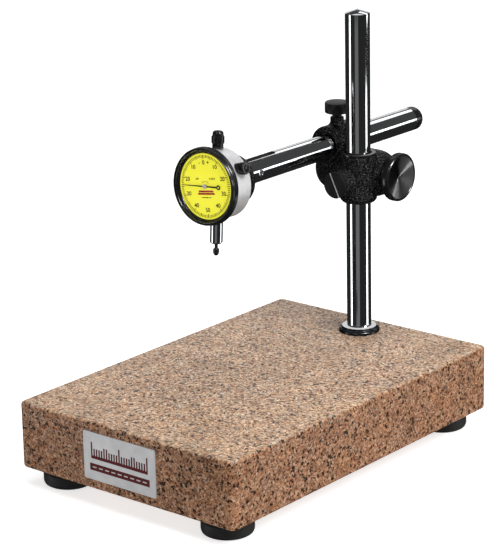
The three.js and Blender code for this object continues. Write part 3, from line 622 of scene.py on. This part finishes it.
def build_foot(foot):
    bottom, top = span(f"foot_{foot}", 2)
    radius = radius_of(f"foot_{foot}")
    place = at(*middle(f"foot_{foot}").xy, 0)
    profile = soft([
        (3.3, top), (3.3, bottom + 6), (7, bottom + 6), (7, bottom), (radius - 2.6, bottom),
        (radius - 0.7, bottom + 1.2), (radius, bottom + 3.2), (radius, top - 3.4), (radius - 0.7, top - 3),
        (radius - 0.7, top - 2.2), (radius - 0.1, top - 1.8), (radius - 0.4, top),
    ], 0.6)
    dress(solid(f"rubber_foot_{foot}", turned(profile), place), RUBBER, "base", "rubber_foot", f"foot_{foot}")
    low, high = span(f"foot_screw_{foot}", 2)
    head = soft([
        (0, low), (3.2, low), (5, low + 0.9), (5.6, low + 2), (5.6, low + 3.3), (3, low + 3.4), (3, high),
        (0, high),
    ])
    screw = solid(f"screw_of_{foot}_foot", turned(head, 48), place)
    cut_slot(screw, 6, 0.6, low - 1, low + 1.1, place)
    dress(screw, STEEL, "base", "steel", f"foot_screw_{foot}")


def build_label():
    low, high = (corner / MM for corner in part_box("label_plate"))
    half = (high - low) / 2
    place = at((low.x + high.x) / 2, low.y, (low.z + high.z) / 2) @ FACING
    outline = rounded_rectangle(half.x, half.z, 1.2)
    plate = solid("label_sheet", flat(outline, -0.8, -0.15), place)
    dress(plate, LABEL_METAL, "base", "label_metal", "label_plate")
    border = solid("label_rim", flat(outline, -0.2, 0.0), place)
    inside = flat(rounded_rectangle(half.x - 0.8, half.z - 0.8, 0.8), -1, 1)
    dress(combine(border, [solid("inside", inside, place)]), LABEL_METAL, "base", "label_metal")
    marks = bmesh.new()
    for tick in range(23):
        tall = 10 if tick % 11 == 0 else 7.4 if tick % 11 in (5, 6) else 5.2
        add_bar(marks, (2.4 * (tick - 11), 0.6 + tall / 2), (1.3, tall), LABEL_PRINT)
    add_bar(marks, (0, -0.6), (54.1, 2.4), LABEL_PRINT)
    dress(solid("label_scale_print", marks, place), MAROON_INK, "base", "label_metal")
    strip = bmesh.new()
    add_bar(strip, (0, -8.2), (57, 5.4), LABEL_PRINT)
    dress(solid("label_band_print", strip, place), MAROON_INK, "base", "label_metal")
    dashes = bmesh.new()
    for dash in range(9):
        add_bar(dashes, (6 * (dash - 4), -8.2), (3.6, 0.8), (-0.1, -0.04))
    dress(solid("label_band_dashes", dashes, place), LABEL_METAL, "base", "label_metal")


def add_bar(shape, centre, size, heights, turn=0.0):
    """Adds a flat bar to a shape, turned clockwise about the origin."""
    made = centred_box(size[0] / 2, size[1] / 2, *heights)
    made.transform(Matrix.Rotation(-turn, 4, "Z") @ Matrix.Translation((*centre, 0)))
    mesh = mesh_of("bar", made)
    shape.from_mesh(mesh)
    bpy.data.meshes.remove(mesh)


# ---- Column and clamp ----
def build_column():
    bottom, top = span("column_insert", 2)
    insert = soft([
        (6.65, bottom), (11, bottom), (11, 0.05), (15.9, 0.05), (15.9, 1.8), (15.2, 2.6), (13.9, 3.2),
        (13.7, top), (12.4, top), (6.65, top),
    ], 0.3)
    flange = solid("column_flange", turned(insert), COLUMN)
    dress(flange, GLOSS, "base", "black_metal", "column_insert")
    second_material(flange, BRIGHT, lambda point: point.z > top - 0.6 and off_axis(point) < 13.4)
    low, high = span("column", 2)
    radius = radius_of("column")
    profile = [
        (0, low), (5.4, low), (6.35, low + 1), (6.35, top + 0.05), (radius, top + 0.05),
        (radius, high - 3.5), (radius - 0.15, high - 3.3), (0, high),
    ]
    column = solid("column_rod", turned(profile, 128), COLUMN)
    dress(column, CHROME, "base", "chrome_rod", "column")
    column.visible_glossy = False  # keeps the arm's bands clean


def split_bush(low, high):
    """A thin bush with a narrow slit down one side."""
    inner, outer = 9.605, 10.455
    gap = math.asin(1 / outer)
    shape = bmesh.new()
    steps = 90
    columns = []
    for step in range(steps + 1):
        angle = math.pi / 2 + gap + (2 * math.pi - 2 * gap) * step / steps
        corners = [(inner, low), (outer, low), (outer, high), (inner, high)]
        columns.append([shape.verts.new((r * math.cos(angle), r * math.sin(angle), z)) for r, z in corners])
    join_rings(shape, columns)
    shape.faces.new(columns[0])
    shape.faces.new(columns[-1])
    bmesh.ops.recalc_face_normals(shape, faces=shape.faces)
    return shape


def build_column_clamp():
    bottom, top = span("column_clamp", 2)
    boss_face = span("column_clamp", 1)[0]
    ear_end = span("column_clamp", 0)[1]
    mating = span("arm_clamp", 0)[1] + 0.3
    hub = soft([(0, bottom), (12.4, bottom), (14.5, bottom + 2.8), (14.5, top), (0, top)], 1.2)
    ear = soft([
        (0, mating - 6), (18.2, mating - 6), (18.2, ear_end - 12), (17.8, ear_end - 8.5),
        (16.4, ear_end - 4.5), (13.8, ear_end - 1.4), (10.5, ear_end), (0, ear_end),
    ], 1.5)
    boss = soft([
        (0, boss_face), (10.3, boss_face), (10.4, boss_face + 5), (12, boss_face + 12), (0, 124),
    ], 1.0)
    parts = [
        solid("hub", turned(hub), COLUMN),
        solid("ear", turned(ear), BOLT),
        solid("boss", turned(boss), SCREW),
    ]
    clamp = cast("column_casting", parts, COLUMN)
    step = [(13.7, top - 1.6), (16, top - 1.6), (16, top + 3), (13.7, top + 3)]
    cutters = [
        solid("side", box_shape((-60, 113.6, 80), (mating, 200, 170))),
        solid("bore", rod(CASTING_BORE, bottom - 5, top + 5, 128), COLUMN),
        solid("step", turned(step, 128), COLUMN),
        solid("bolt", rod(BOLT_HOLE, -30, 30, 48), BOLT),
        solid("screw", rod(4.8, boss_face - 5, 116, 48), SCREW),
        solid("split", box_shape((-1, middle("column").y, 80), (1, 170, 170))),
        solid("top", box_shape((-30, 90, top), (30, 170, top + 20))),
    ]
    dress(combine(clamp, cutters), CASTING, "column_clamp", "black_casting", "column_clamp")
    second_material(clamp, GLOSS, lambda point: point.z > top - 1.7 and off_axis(point) < 13.9)
    bush = solid("column_bush", split_bush(*span("column_liner", 2)), COLUMN)
    dress(bush, BLACKENED, "column_liner", "black_casting", "column_liner")


def build_bolt():
    low, high = span("clamp_bolt", 0)
    head = soft([
        (0, low), (5.2, low), (6.6, low + 1.4), (6.6, low + 4.5), (3.9, low + 4.5), (3.9, high), (0, high),
    ], 0.3)
    dress(solid("pivot_bolt", turned(head, 64), BOLT), STEEL, "column_clamp", "steel", "clamp_bolt")
    low, high = span("clamp_washer", 0)
    washer = soft([(4.2, low), (10, low), (10, high), (4.2, high)], 0.2)
    dress(solid("pivot_washer", turned(washer, 64), BOLT), STEEL, "column_clamp", "steel", "clamp_washer")
    low, high = span("clamp_knob", 0)
    radius = radius_of("clamp_knob", 1)
    back = high - 6.5
    blind = high - 5.2
    profile = [(0, blind), (4.2, blind), (4.2, low), (9.5, low), (9.5, back - 0.6), (10.2, back)]
    profile += [(radius - 1.4, back), (radius - 0.3, back + 0.7)] + band(radius, back + 1.2, high - 1.2, 1)
    profile += [(radius - 0.3, high - 0.7), (radius - 1.1, high), (radius - 1.9, high)]
    dish, rim, steps = radius - 2.3, high - 0.4, 12
    profile += [(dish, rim)]
    profile += [(dish - dish * step / steps, rim - 2.8 * step / steps) for step in range(1, steps + 1)]
    knurl = (back + 1.1, high - 1.1, 0.22, False)
    knob = solid("clamp_knob_turned", turned(profile, 260, knurl), BOLT)
    dress(knob, GLOSS, "clamp_knob", "black_metal", "clamp_knob")
    second_material(knob, TURNED_FACE, lambda point: point.z > high - 4 and off_axis(point) < dish)


def build_friction_screw():
    low, high = span("friction_screw", 1)
    radius = radius_of("friction_screw")
    profile = soft([
        (0, low), (radius - 0.5, low), (radius, low + 0.5), (radius, low + 2.2), (4.5, low + 2.2),
        (4.5, high), (0, high),
    ], 0.2)
    screw = solid("friction_screw_turned", turned(profile), SCREW)
    lean = SCREW @ Matrix.Rotation(-SLOT_LEAN, 4, "Z")
    cut_slot(screw, 0.85, 20, low - 2, low + 0.7, lean)
    dress(screw, MATT_BLACK, "friction_screw", "black_metal", "friction_screw")
    inverse = Matrix.Rotation(SLOT_LEAN, 3, "Z")
    second_material(
        screw, SATIN, lambda point: low + 0.6 < point.z < low + 0.8 and abs((inverse @ point).x) < 0.9,
    )


def build_arm_clamp():
    front, back = span("arm_clamp", 1)[0], span("arm_liner", 1)[1] + 3
    left, mating = span("arm_clamp", 0)
    neck_top = span("arm_clamp", 2)[1]
    sleeve = soft([
        (0, front), (13, front), (13.1, front + 1.3), (14.9, front + 1.3), (15.6, front + 2.2),
        (15.6, back - 2), (13.6, back), (0, back),
    ], 0.6)
    disc = soft([
        (0, left), (11.1, left), (14.4, left + 1.4), (17, left + 4.5), (18.4, left + 8.5), (18.8, left + 12),
        (18.8, mating + 4), (0, mating + 4),
    ], 1.0)
    neck = soft([
        (0, 145), (11, 156.6), (7.6, 158.8), (5.9, 160.6), (5.3, 162.4), (5.3, neck_top), (0, neck_top),
    ], 0.8)
    parts = [
        solid("sleeve", turned(sleeve), ARM),
        solid("disc", turned(disc), BOLT),
        solid("neck", turned(neck), LOCK),
    ]
    clamp = cast("arm_casting", parts, ARM)
    nose = [(13.1, front - 3), (18, front - 3), (18, front + 1.4), (13.1, front + 1.4)]
    cutters = [
        solid("side", box_shape((mating, 80, 80), (60, 200, 200))),
        solid("bore", rod(CASTING_BORE, front - 5, back + 20, 128), ARM),
        solid("nose", turned(nose, 128), ARM),
        solid("bolt", rod(BOLT_HOLE, -60, 30, 48), BOLT),
        solid("lock", rod(3.3, 145, neck_top + 5, 48), LOCK),
        solid("top", box_shape((-60, 110, neck_top), (0, 160, neck_top + 20))),
    ]
    dress(combine(clamp, cutters), CASTING, "arm_clamp", "black_casting", "arm_clamp")
    bush = solid("arm_bush", split_bush(*span("arm_liner", 1)), ARM)
    dress(bush, BLACKENED, "arm_liner", "black_casting", "arm_liner")


def build_lock_knob():
    tip, top = span("arm_lock_knob", 2)
    radius = radius_of("arm_lock_knob")
    bottom = top - 9.3
    neck_top = span("arm_clamp", 2)[1]
    profile = [(0, tip), (2.4, tip), (3, tip + 0.6), (3, neck_top + 0.1), (3.6, neck_top + 0.1)]
    profile += [(3.6, bottom - 0.4), (5, bottom), (radius - 0.7, bottom), (radius - 0.1, bottom + 0.5)]
    profile += band(radius, bottom + 1, top - 1.4, 1)
    profile += [(radius - 0.1, top - 1.3), (radius - 0.75, top - 0.65), (radius - 1.3, top - 0.6), (0, top)]
    knurl = (bottom + 0.9, top - 1.3, 0.16, False)
    knob = solid("arm_lock_knob_turned", turned(profile, 150, knurl), LOCK)
    dress(knob, BLACKENED, "arm_lock_knob", "black_metal", "arm_lock_knob")
    second_material(
        knob, BRIGHT, lambda point: top - 1.3 < point.z < top - 0.65 and off_axis(point) > radius - 1,
    )


# ---- Arm ----
def build_arm():
    front, back = span("arm", 1)
    radius = radius_of("arm")
    shoulder = back - 3
    profile = [(0, front), (radius - 1.4, front), (radius - 0.5, front + 0.5)]
    profile += band(radius, front + 1.2, shoulder, 21) + [(6, shoulder), (6, back), (0, back)]
    shaft = solid("arm_rod", turned(profile, 128), ARM)
    slot_half, slot_end = 3.4, 56.7
    pin = spot("indicator_tilt")
    centre, straight = spot("arm_roll").x, slot_end - slot_half
    slot = box_shape((-slot_half, front - 5, 100), (slot_half, straight, 190))
    cutters = [
        solid("slot", slot, at(centre)),
        solid("slot_end", rod(slot_half, 100, 190, 64), at(centre, straight, 0)),
        solid("pin", rod(PIN_HOLE, -60, 20, 48), at(0, pin.y, pin.z) @ ALONG_X),
    ]
    combine(shaft, cutters)
    dress(shaft, CHROME, "arm", "chrome_rod", "arm")
    shaft.visible_glossy = False  # keeps the column's bands clean

    def slot_faces_painted_dark(point):
        across, along = slot_half + 0.01, slot_end + 0.01
        return abs(point.x) < across and point.z < along and off_axis(point) < radius - 0.1

    # Painted shade: the slot's inner faces take black oxide so that the slot reads dark.
    second_material(shaft, BLACKENED, slot_faces_painted_dark)
    low, high = span("arm_end_cap", 1)
    cap = soft([
        (0, shoulder + 3.4), (6.3, shoulder + 3.4), (6.3, low), (radius, low), (radius, high - 3.6),
        (radius - 1, high - 1.5), (radius - 3.2, high - 0.4), (0, high),
    ], 0.5)
    dress(solid("arm_cap", turned(cap), ARM), GLOSS, "arm", "black_metal", "arm_end_cap")
    low, high = span("lug_screw", 0)
    place = at(0, pin.y, pin.z) @ ALONG_X
    screw = solid("lug_pin", turned(soft([(0, low), (2.4, low), (2.4, high), (0, high)], 0.3), 48), place)
    cut_slot(screw, 4, 0.4, high - 0.8, high + 1, place)
    dress(screw, BRIGHT, "lug_screw", "steel", "lug_screw")


# ---- Indicator ----
def build_case():
    low, high = dial_box("indicator_case")
    radius = 26.0
    profile = soft([
        (24.2, low.y), (radius - 0.5, low.y), (radius - 0.5, -49.3), (radius - 0.3, -49.1), (radius, -48.6),
        (radius, high.y - 0.5), (radius - 0.4, high.y), (24.2, high.y),
    ], 0.2)
    case = solid("case_ring", turned(profile, 128), DIAL_AXIS)
    top_hole, stem_hole = rod(3.5, 20, 30, 48), rod(5.06, -30, -20, 48)
    combine(case, [solid("top", top_hole, SPINDLE), solid("bottom", stem_hole, SPINDLE)])
    dress(case, SATIN, "indicator", "satin_case", "indicator_case")


def build_cover():
    low, high = dial_box("back_cover")
    pin_z = (DIAL.inverted() @ (spot("indicator_tilt") * MM) / MM).z
    front, flat_back = low.y, -17.5
    dome = soft([
        (0, front), (24.4, front), (24.4, front + 1.6), (21.5, front + 3.2), (20, front + 6),
        (19.6, flat_back - 3), (18.4, flat_back), (0, flat_back),
    ], 0.8)
    lug_end = DIAL @ at(0, 0, pin_z) @ ALONG_X
    parts = [
        solid("dome", turned(dome), DIAL_AXIS),
        solid("lug", box_shape((-3.1, flat_back - 3, pin_z - 6.2), (3.1, 0, pin_z + 6.2)), DIAL),
        solid("lug_round", turned(soft([(0, -3.1), (6.2, -3.1), (6.2, 3.1), (0, 3.1)], 0.5), 64), lug_end),
    ]
    cover = cast("cover_casting", parts, DIAL_AXIS, 0.36)
    cutters = [
        solid("face", turned([(0, front - 4), (30, front - 4), (30, front), (0, front)]), DIAL_AXIS),
        solid("pin", rod(PIN_HOLE, -9, 9, 48), lug_end),
    ]
    places = {}
    for screw in (f"cover_screw_{number}" for number in range(1, 5)):
        centre = sum(dial_box(screw), Vector()) / 2
        places[screw] = DIAL @ at(centre.x, 0, centre.z) @ ALONG_Y
        cutters.append(solid("hole", rod(1.6, flat_back - 7, flat_back + 4, 32), places[screw]))
    dress(combine(cover, cutters), CASTING, "indicator", "black_casting", "back_cover")
    for screw, place in places.items():
        tip, top = dial_box(screw)[0].y, dial_box(screw)[1].y
        head = soft([
            (0, tip), (1.2, tip), (1.2, top - 1.3), (2.6, top - 1.3), (2.5, top - 0.6), (1.6, top - 0.1),
            (0, top),
        ], 0.15)
        made = solid(screw.replace("screw", "fastener"), turned(head, 40), place)
        cut_slot(made, 4, 0.3, top - 0.6, top + 1, place)
        dress(made, STEEL, "indicator", "steel", screw)


def build_stem():
    low, high = dial_box("stem")
    radius, bore = 0.1875 * 25.4, 2.46
    profile = soft([
        (bore, high.z), (bore, low.z), (radius - 1, low.z), (radius, low.z + 1), (radius, high.z),
    ], 0.2)
    dress(solid("stem_tube", turned(profile), SPINDLE), CHROME, "indicator", "steel", "stem")
    low, high = dial_box("top_bushing")
    profile = soft([(bore, low.z), (3.2, low.z), (3.2, high.z), (bore, high.z)], 0.15)
    dress(solid("top_bush", turned(profile, 64), SPINDLE), STEEL, "indicator", "steel", "top_bushing")
    low, high = dial_box("dust_cap")
    top, base = high.z, low.z
    profile = [(0, top), (1.8, top - 0.05), (2.8, top - 0.3), (3.5, top - 0.8), (3.95, top - 1.5)]
    profile += [(4.1, top - 2.4), (4.1, 36.2), (4.7, 35.8)] + band(4.85, 35.5, 30.8, 8)
    profile += [(4.7, 30.5), (4.1, 30.1), (4.15, base + 0.3), (4.05, base), (3.5, base)]
    profile += [(3.5, top - 2.5), (0, top - 2.1)]
    cap = solid("dust_cap_turned", turned(profile, 56, (30.7, 35.6, 0.3, True)), SPINDLE)
    dress(cap, GLOSS, "indicator", "black_metal", "dust_cap")
    low, high = dial_box("contact_point")
    tip = low.z
    profile = [(0, tip), (0.9, tip + 0.15), (1.6, tip + 0.7), (2.0, tip + 1.5), (2.2, tip + 2.2)]
    profile += band(2.3, tip + 2.4, tip + 5.0, 6)
    profile += [(1.8, tip + 5.5), (1.25, tip + 5.7), (1.25, high.z), (0, high.z)]
    contact = solid("contact_turned", turned(profile, 36, (tip + 2.3, tip + 5.1, 0.2, True)), SPINDLE)
    dress(contact, GLOSS, "spindle", "black_metal", "contact_point")


def build_bezel():
    low, high = dial_box("bezel")
    front, back = low.y, high.y
    radius, bore = 29.2, 27.5
    shelf = dial_box("dial_face")[0].y + 0.9
    profile = [(26.3, back), (radius - 0.4, back)] + band(radius, back - 0.4, back - 3.3, 1)
    profile += [(radius - 0.45, back - 3.7), (radius - 0.6, back - 4.1), (radius - 0.35, back - 4.5)]
    profile += [(radius - 0.35, front + 1.6), (radius - 0.7, front + 0.8), (radius - 1.1, front + 0.2)]
    profile += [(radius - 1.4, front), (bore + 0.15, front + 0.05), (bore, front + 0.2), (bore, shelf)]
    profile += [(26.3, shelf)]
    knurl = (back - 3.4, back - 0.3, 0.22, False)
    ring = solid("bezel_ring", turned(profile, 320, knurl), DIAL_AXIS)
    dress(ring, GLOSS, "bezel", "black_metal", "bezel")
    low, high = dial_box("crystal")
    glass = soft([(0, low.y), (bore - 0.2, low.y), (bore - 0.2, high.y), (0, high.y)], 0.15)
    dress(solid("crystal_disc", turned(glass, 128), DIAL_AXIS), CRYSTAL, "bezel", "crystal", "crystal")
    low, high = dial_box("dial_ring")
    ring = soft([
        (24.4, high.y), (27.3, high.y), (27.3, low.y), (26.7, low.y), (26.3, low.y + 1.1),
        (25.2, low.y + 1.6), (24.7, high.y - 0.6),
    ], 0.15)
    dress(solid("dial_surround", turned(ring, 128), DIAL_AXIS), GLOSS, "bezel", "black_metal", "dial_ring")
    low, high = dial_box("dial_face")
    disc = soft([(1.3, low.y), (27.3, low.y), (27.3, high.y), (1.3, high.y)], 0.1)
    dress(solid("dial_disc", turned(disc, 128), DIAL_AXIS), GLOWING_DIAL_PAINT, "bezel", "yellow_dial", "dial_face")
    build_dial_print(-low.y)


def add_text(shape, words, size, place):
    """Adds flat raised figures, centred on a place, to a shape drawn in millimetres."""
    curve = bpy.data.curves.new("figures", "FONT")
    curve.body = words
    curve.size = size
    curve.align_x = "CENTER"
    curve.align_y = "CENTER"
    curve.extrude = 0.03
    curve.offset = 0.02 * size
    curve.resolution_u = 3
    text = add_object("figures", curve)
    graph = bpy.context.evaluated_depsgraph_get()
    mesh = bpy.data.meshes.new_from_object(text.evaluated_get(graph))
    mesh.transform(place)
    shape.from_mesh(mesh)
    bpy.data.objects.remove(text)
    bpy.data.meshes.remove(mesh)


def build_dial_print(face):
    """Scale, figures and a plain emblem, printed on the dial and turned a little with it."""
    place = DIAL @ FACING @ Matrix.Rotation(DIAL_TURN, 4, "Z")
    layer = (face, face + 0.06)
    marks = bmesh.new()
    for tick in range(100):
        width, length = (0.62, 3.0) if tick % 10 == 0 else (0.56, 2.6) if tick % 5 == 0 else (0.5, 2.1)
        add_bar(marks, (0, 23.3 - length / 2), (width, length), layer, 2 * math.pi * tick / 100)
    for tick in range(-3, 4):
        add_bar(marks, (0, 4.1), (0.2, 0.9), layer, math.radians(17 * tick))
    for step in range(-14, 15):
        add_bar(marks, (0, 3.6), (0.24, 0.14), layer, math.radians(3.6 * step))
    height = face + 0.03
    for tens in range(10):
        angle = 2 * math.pi * tens / 10
        across, up = FIGURE_RING * math.sin(angle), FIGURE_RING * math.cos(angle)
        add_text(marks, str(10 * min(tens, 10 - tens)), 4.5, Matrix.Translation((across, up, height)))
    for side, sign in ((-1, "-"), (1, "+")):
        add_text(marks, sign, 4.2, Matrix.Translation((4.2 * side, FIGURE_RING, height)))
    for x, words in ((-7.4, ".001"), (7.0, "0-50-0")):
        add_text(marks, words, 2.1, Matrix.Translation((x, 5.6, height)))
    dress(solid("dial_figures", marks, place), BLACK_INK, "bezel", "yellow_dial")
    emblem = bmesh.new()
    for row, wide in ((-3.7, 14), (-5.5, 16)):
        add_bar(emblem, (0, row), (wide, 1.45), layer)
    dress(solid("dial_emblem", emblem, place), RED_INK, "bezel", "yellow_dial")
    dashes = bmesh.new()
    for x in (-3.4, -1.1, 0.9, 3.6):
        add_bar(dashes, (x, -8.3), (1.7, 0.8), layer)
    dress(solid("dial_dashes", dashes, place), BLACK_INK, "bezel", "yellow_dial")


def build_bezel_clamp():
    axis = Vector(joints["bezel_clamp_turn"]["axis"]).normalized()
    pos = spot("bezel_clamp_turn")
    across = Vector((0, 1, 0)).cross(axis).normalized()
    turn = Matrix((across, axis.cross(across), axis)).transposed().to_4x4()
    place = Matrix.Translation(pos * MM) @ turn
    sleeve = soft([(2.2, 18.5), (4.1, 18.5), (4.1, 24.2), (2.2, 24.2)], 0.3)
    post = solid("bezel_clamp_post", turned(sleeve, 64), place)
    combine(post, [solid("case", rod(26.15, -60, -20, 128), DIAL_AXIS)])
    dress(post, BLACKENED, "indicator", "black_metal", "bezel_clamp_block")
    profile = [(0, 23.2), (1.8, 23.2), (1.8, 24.4), (4.2, 24.4), (4.5, 24.7)] + band(4.7, 25.0, 28.6, 6)
    profile += [(4.5, 29.1), (4.1, 29.5), (2.6, 29.6), (2.2, 29.4), (0, 29.4)]
    screw = solid("bezel_clamp_thumb_screw", turned(profile, 48, (24.9, 28.7, 0.3, True)), place)
    dress(screw, GLOSS, "bezel_clamp_screw", "black_metal", "bezel_clamp_screw")


def build_hand():
    """A tapered pointer with an eye on its short end, and a hub with a brass centre."""
    inverse = (DIAL @ FACING).inverted()
    points = [inverse @ vertex.co / MM for vertex in frame["nodes"]["hand"].data.vertices]
    tip = max(points, key=off_axis)
    reach, angle = off_axis(tip), math.atan2(tip.y, tip.x)
    low, high = min(point.z for point in points), max(point.z for point in points)
    place = DIAL @ FACING @ Matrix.Rotation(angle, 4, "Z")
    eye = 12.8
    edge = [(-eye + 1.2, 0.6), (0, 0.5), (reach - 6, 0.32), (reach, 0.14)]
    blade = edge + [(x, -y) for x, y in reversed(edge)]
    hand = solid("pointer", flat(blade, low, high), place)
    others = [
        solid("boss", rod(1.5, low, high, 64), place),
        solid("eye", rod(1.8, low, high, 64), place @ at(-eye)),
    ]
    combine(hand, others, "UNION")
    holes = [
        solid("centre", rod(0.7, low - 2, high + 2, 32), place),
        solid("hole", rod(0.85, low - 2, high + 2, 48), place @ at(-eye)),
    ]
    combine(hand, holes)
    dress(hand, BLACK_INK, "hand", "black_metal", "hand")
    low, high = dial_box("hand_hub")
    profile = soft([
        (0, high.y), (1.75, high.y), (1.75, low.y + 0.3), (1.45, low.y), (0.62, low.y), (0.5, low.y + 0.15),
        (0, low.y + 0.15),
    ], 0.1)
    hub = solid("pointer_hub", turned(profile, 64), DIAL_AXIS)
    dress(hub, SATIN, "hand", "satin_case", "hand_hub")
    second_material(hub, BRASS, lambda point: point.z < low.y + 0.3 and off_axis(point) < 0.6)


def dress_cad_nodes():
    """The movement and the spindle keep their CAD shape."""
    brass = ["guide_rail", "front_plate", "rear_plate", "pillar_1", "pillar_2", "pillar_3"]
    brass += ["rack_pinion", "centre_arbor", "takeup_gear"]
    steel = ["spindle", "guide_pin", "return_spring", "spring_post", "hairspring"]
    for names, material in ((brass, BRASS), (steel, STEEL)):
        for name in names:
            materials = frame["nodes"][name].data.materials
            materials.clear()
            materials.append(material)


# ---- Camera, floor and light ----
def build_camera():
    azimuth, elevation, roll = math.radians(39.93), math.radians(17.33), math.radians(-1.17)
    back = Vector((
        math.sin(azimuth) * math.cos(elevation),
        -math.cos(azimuth) * math.cos(elevation),
        math.sin(elevation),
    ))
    right = Vector((math.cos(azimuth), math.sin(azimuth), 0))
    up = back.cross(right)
    turn = Matrix((
        right * math.cos(roll) + up * math.sin(roll), up * math.cos(roll) - right * math.sin(roll), back,
    )).transposed().to_4x4()
    data = bpy.data.cameras.new("camera")
    data.lens = 156.63
    data.sensor_width = 36
    data.clip_end = 50
    stand = Matrix.Translation((1.0828, -1.3019, 0.6042))
    bpy.context.scene.camera = add_object("camera", data, stand @ turn)


def build_floor():
    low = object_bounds()[0].z
    glow = {"Emission Color": (1, 1, 1, 1), "Emission Strength": 0.72}
    material = new_material("floor", (0.6, 0.6, 0.6), 0.0, 0.7, **glow)
    mesh = bpy.data.meshes.new("floor")
    corners = [(-8, -8, low), (8, -8, low), (8, 8, low), (-8, 8, low)]
    mesh.from_pydata(corners, [], [(0, 1, 2, 3)])
    mesh.materials.append(material)
    floor = add_object("floor", mesh)
    floor.visible_glossy = False


def softbox(name, azimuth, elevation, distance, size, radiance):
    """A rectangular light seen from the clamp in a compass direction, measured from +X towards +Y."""
    turn, rise = math.radians(azimuth), math.radians(elevation)
    aim = Vector((0, 0.1, 0.1))
    toward = Vector((math.cos(turn) * math.cos(rise), math.sin(turn) * math.cos(rise), math.sin(rise)))
    data = bpy.data.lights.new(name, "AREA")
    data.shape = "RECTANGLE"
    data.size, data.size_y = size
    data.energy = radiance * math.pi * size[0] * size[1]
    aimed = toward.to_track_quat("Z", "Y").to_matrix().to_4x4()
    return add_object(name, data, Matrix.Translation(aim + toward * distance) @ aimed)


def build_light():
    softbox("panel_top", 130, 86, 1.8, (1.2, 1.0), 4.6).visible_glossy = False
    softbox("panel_top_shine", 130, 86, 1.8, (1.2, 1.0), 0.7).visible_diffuse = False
    softbox("panel_back_high", 130, 56, 1.8, (1.2, 0.6), 0.9)
    softbox("panel_back", 108, 36, 1.9, (0.9, 0.28), 1.6)
    softbox("panel_back_low", 134, 13, 1.9, (1.0, 0.75), 0.75)
    softbox("strip_right_low", 33, -18, 1.25, (0.36, 0.42), 2.8)
    softbox("strip_right", 48, 1, 1.25, (0.38, 0.24), 2.6)
    softbox("strip_left", -128, -15, 1.25, (0.34, 0.5), 2.8)
    softbox("strip_front", -62, -16, 1.25, (0.72, 0.5), 0.13)
    softbox("sparkle", -8, 46, 2.0, (0.6, 0.6), 42.0).visible_diffuse = False
    softbox("glint", -75, 40, 2.0, (0.3, 0.3), 30.0).visible_diffuse = False
    softbox("sparkle_low", 8, 14, 2.0, (0.4, 0.4), 16.0).visible_diffuse = False
    softbox("key", -8, 46, 2.0, (1.3, 1.3), 8.4).visible_glossy = False
    softbox("fill", -105, 28, 2.2, (1.2, 1.2), 0.9).visible_glossy = False
    world = bpy.data.worlds.new("studio")
    world.use_nodes = True
    direction = node(world, "ShaderNodeTexCoord").outputs["Generated"]
    height = node(world, "ShaderNodeSeparateXYZ", {"Vector": direction}).outputs["Z"]
    fade = {"Value": height, "From Min": -0.1, "From Max": 0.2, "To Min": 0.02, "To Max": 0.06}
    shade = node(world, "ShaderNodeMapRange", fade).outputs["Result"]
    background = world.node_tree.nodes["Background"]
    world.node_tree.links.new(shade, background.inputs["Strength"])
    background.inputs["Color"].default_value = (1, 1, 1, 1)
    bpy.context.scene.world = world
    bpy.context.scene.view_settings.view_transform = "Standard"


build_base()
build_column()
build_column_clamp()
build_bolt()
build_friction_screw()
build_arm_clamp()
build_lock_knob()
build_arm()
build_case()
build_cover()
build_stem()
build_bezel()
build_bezel_clamp()
build_hand()
dress_cad_nodes()
build_camera()
build_floor()
build_light()
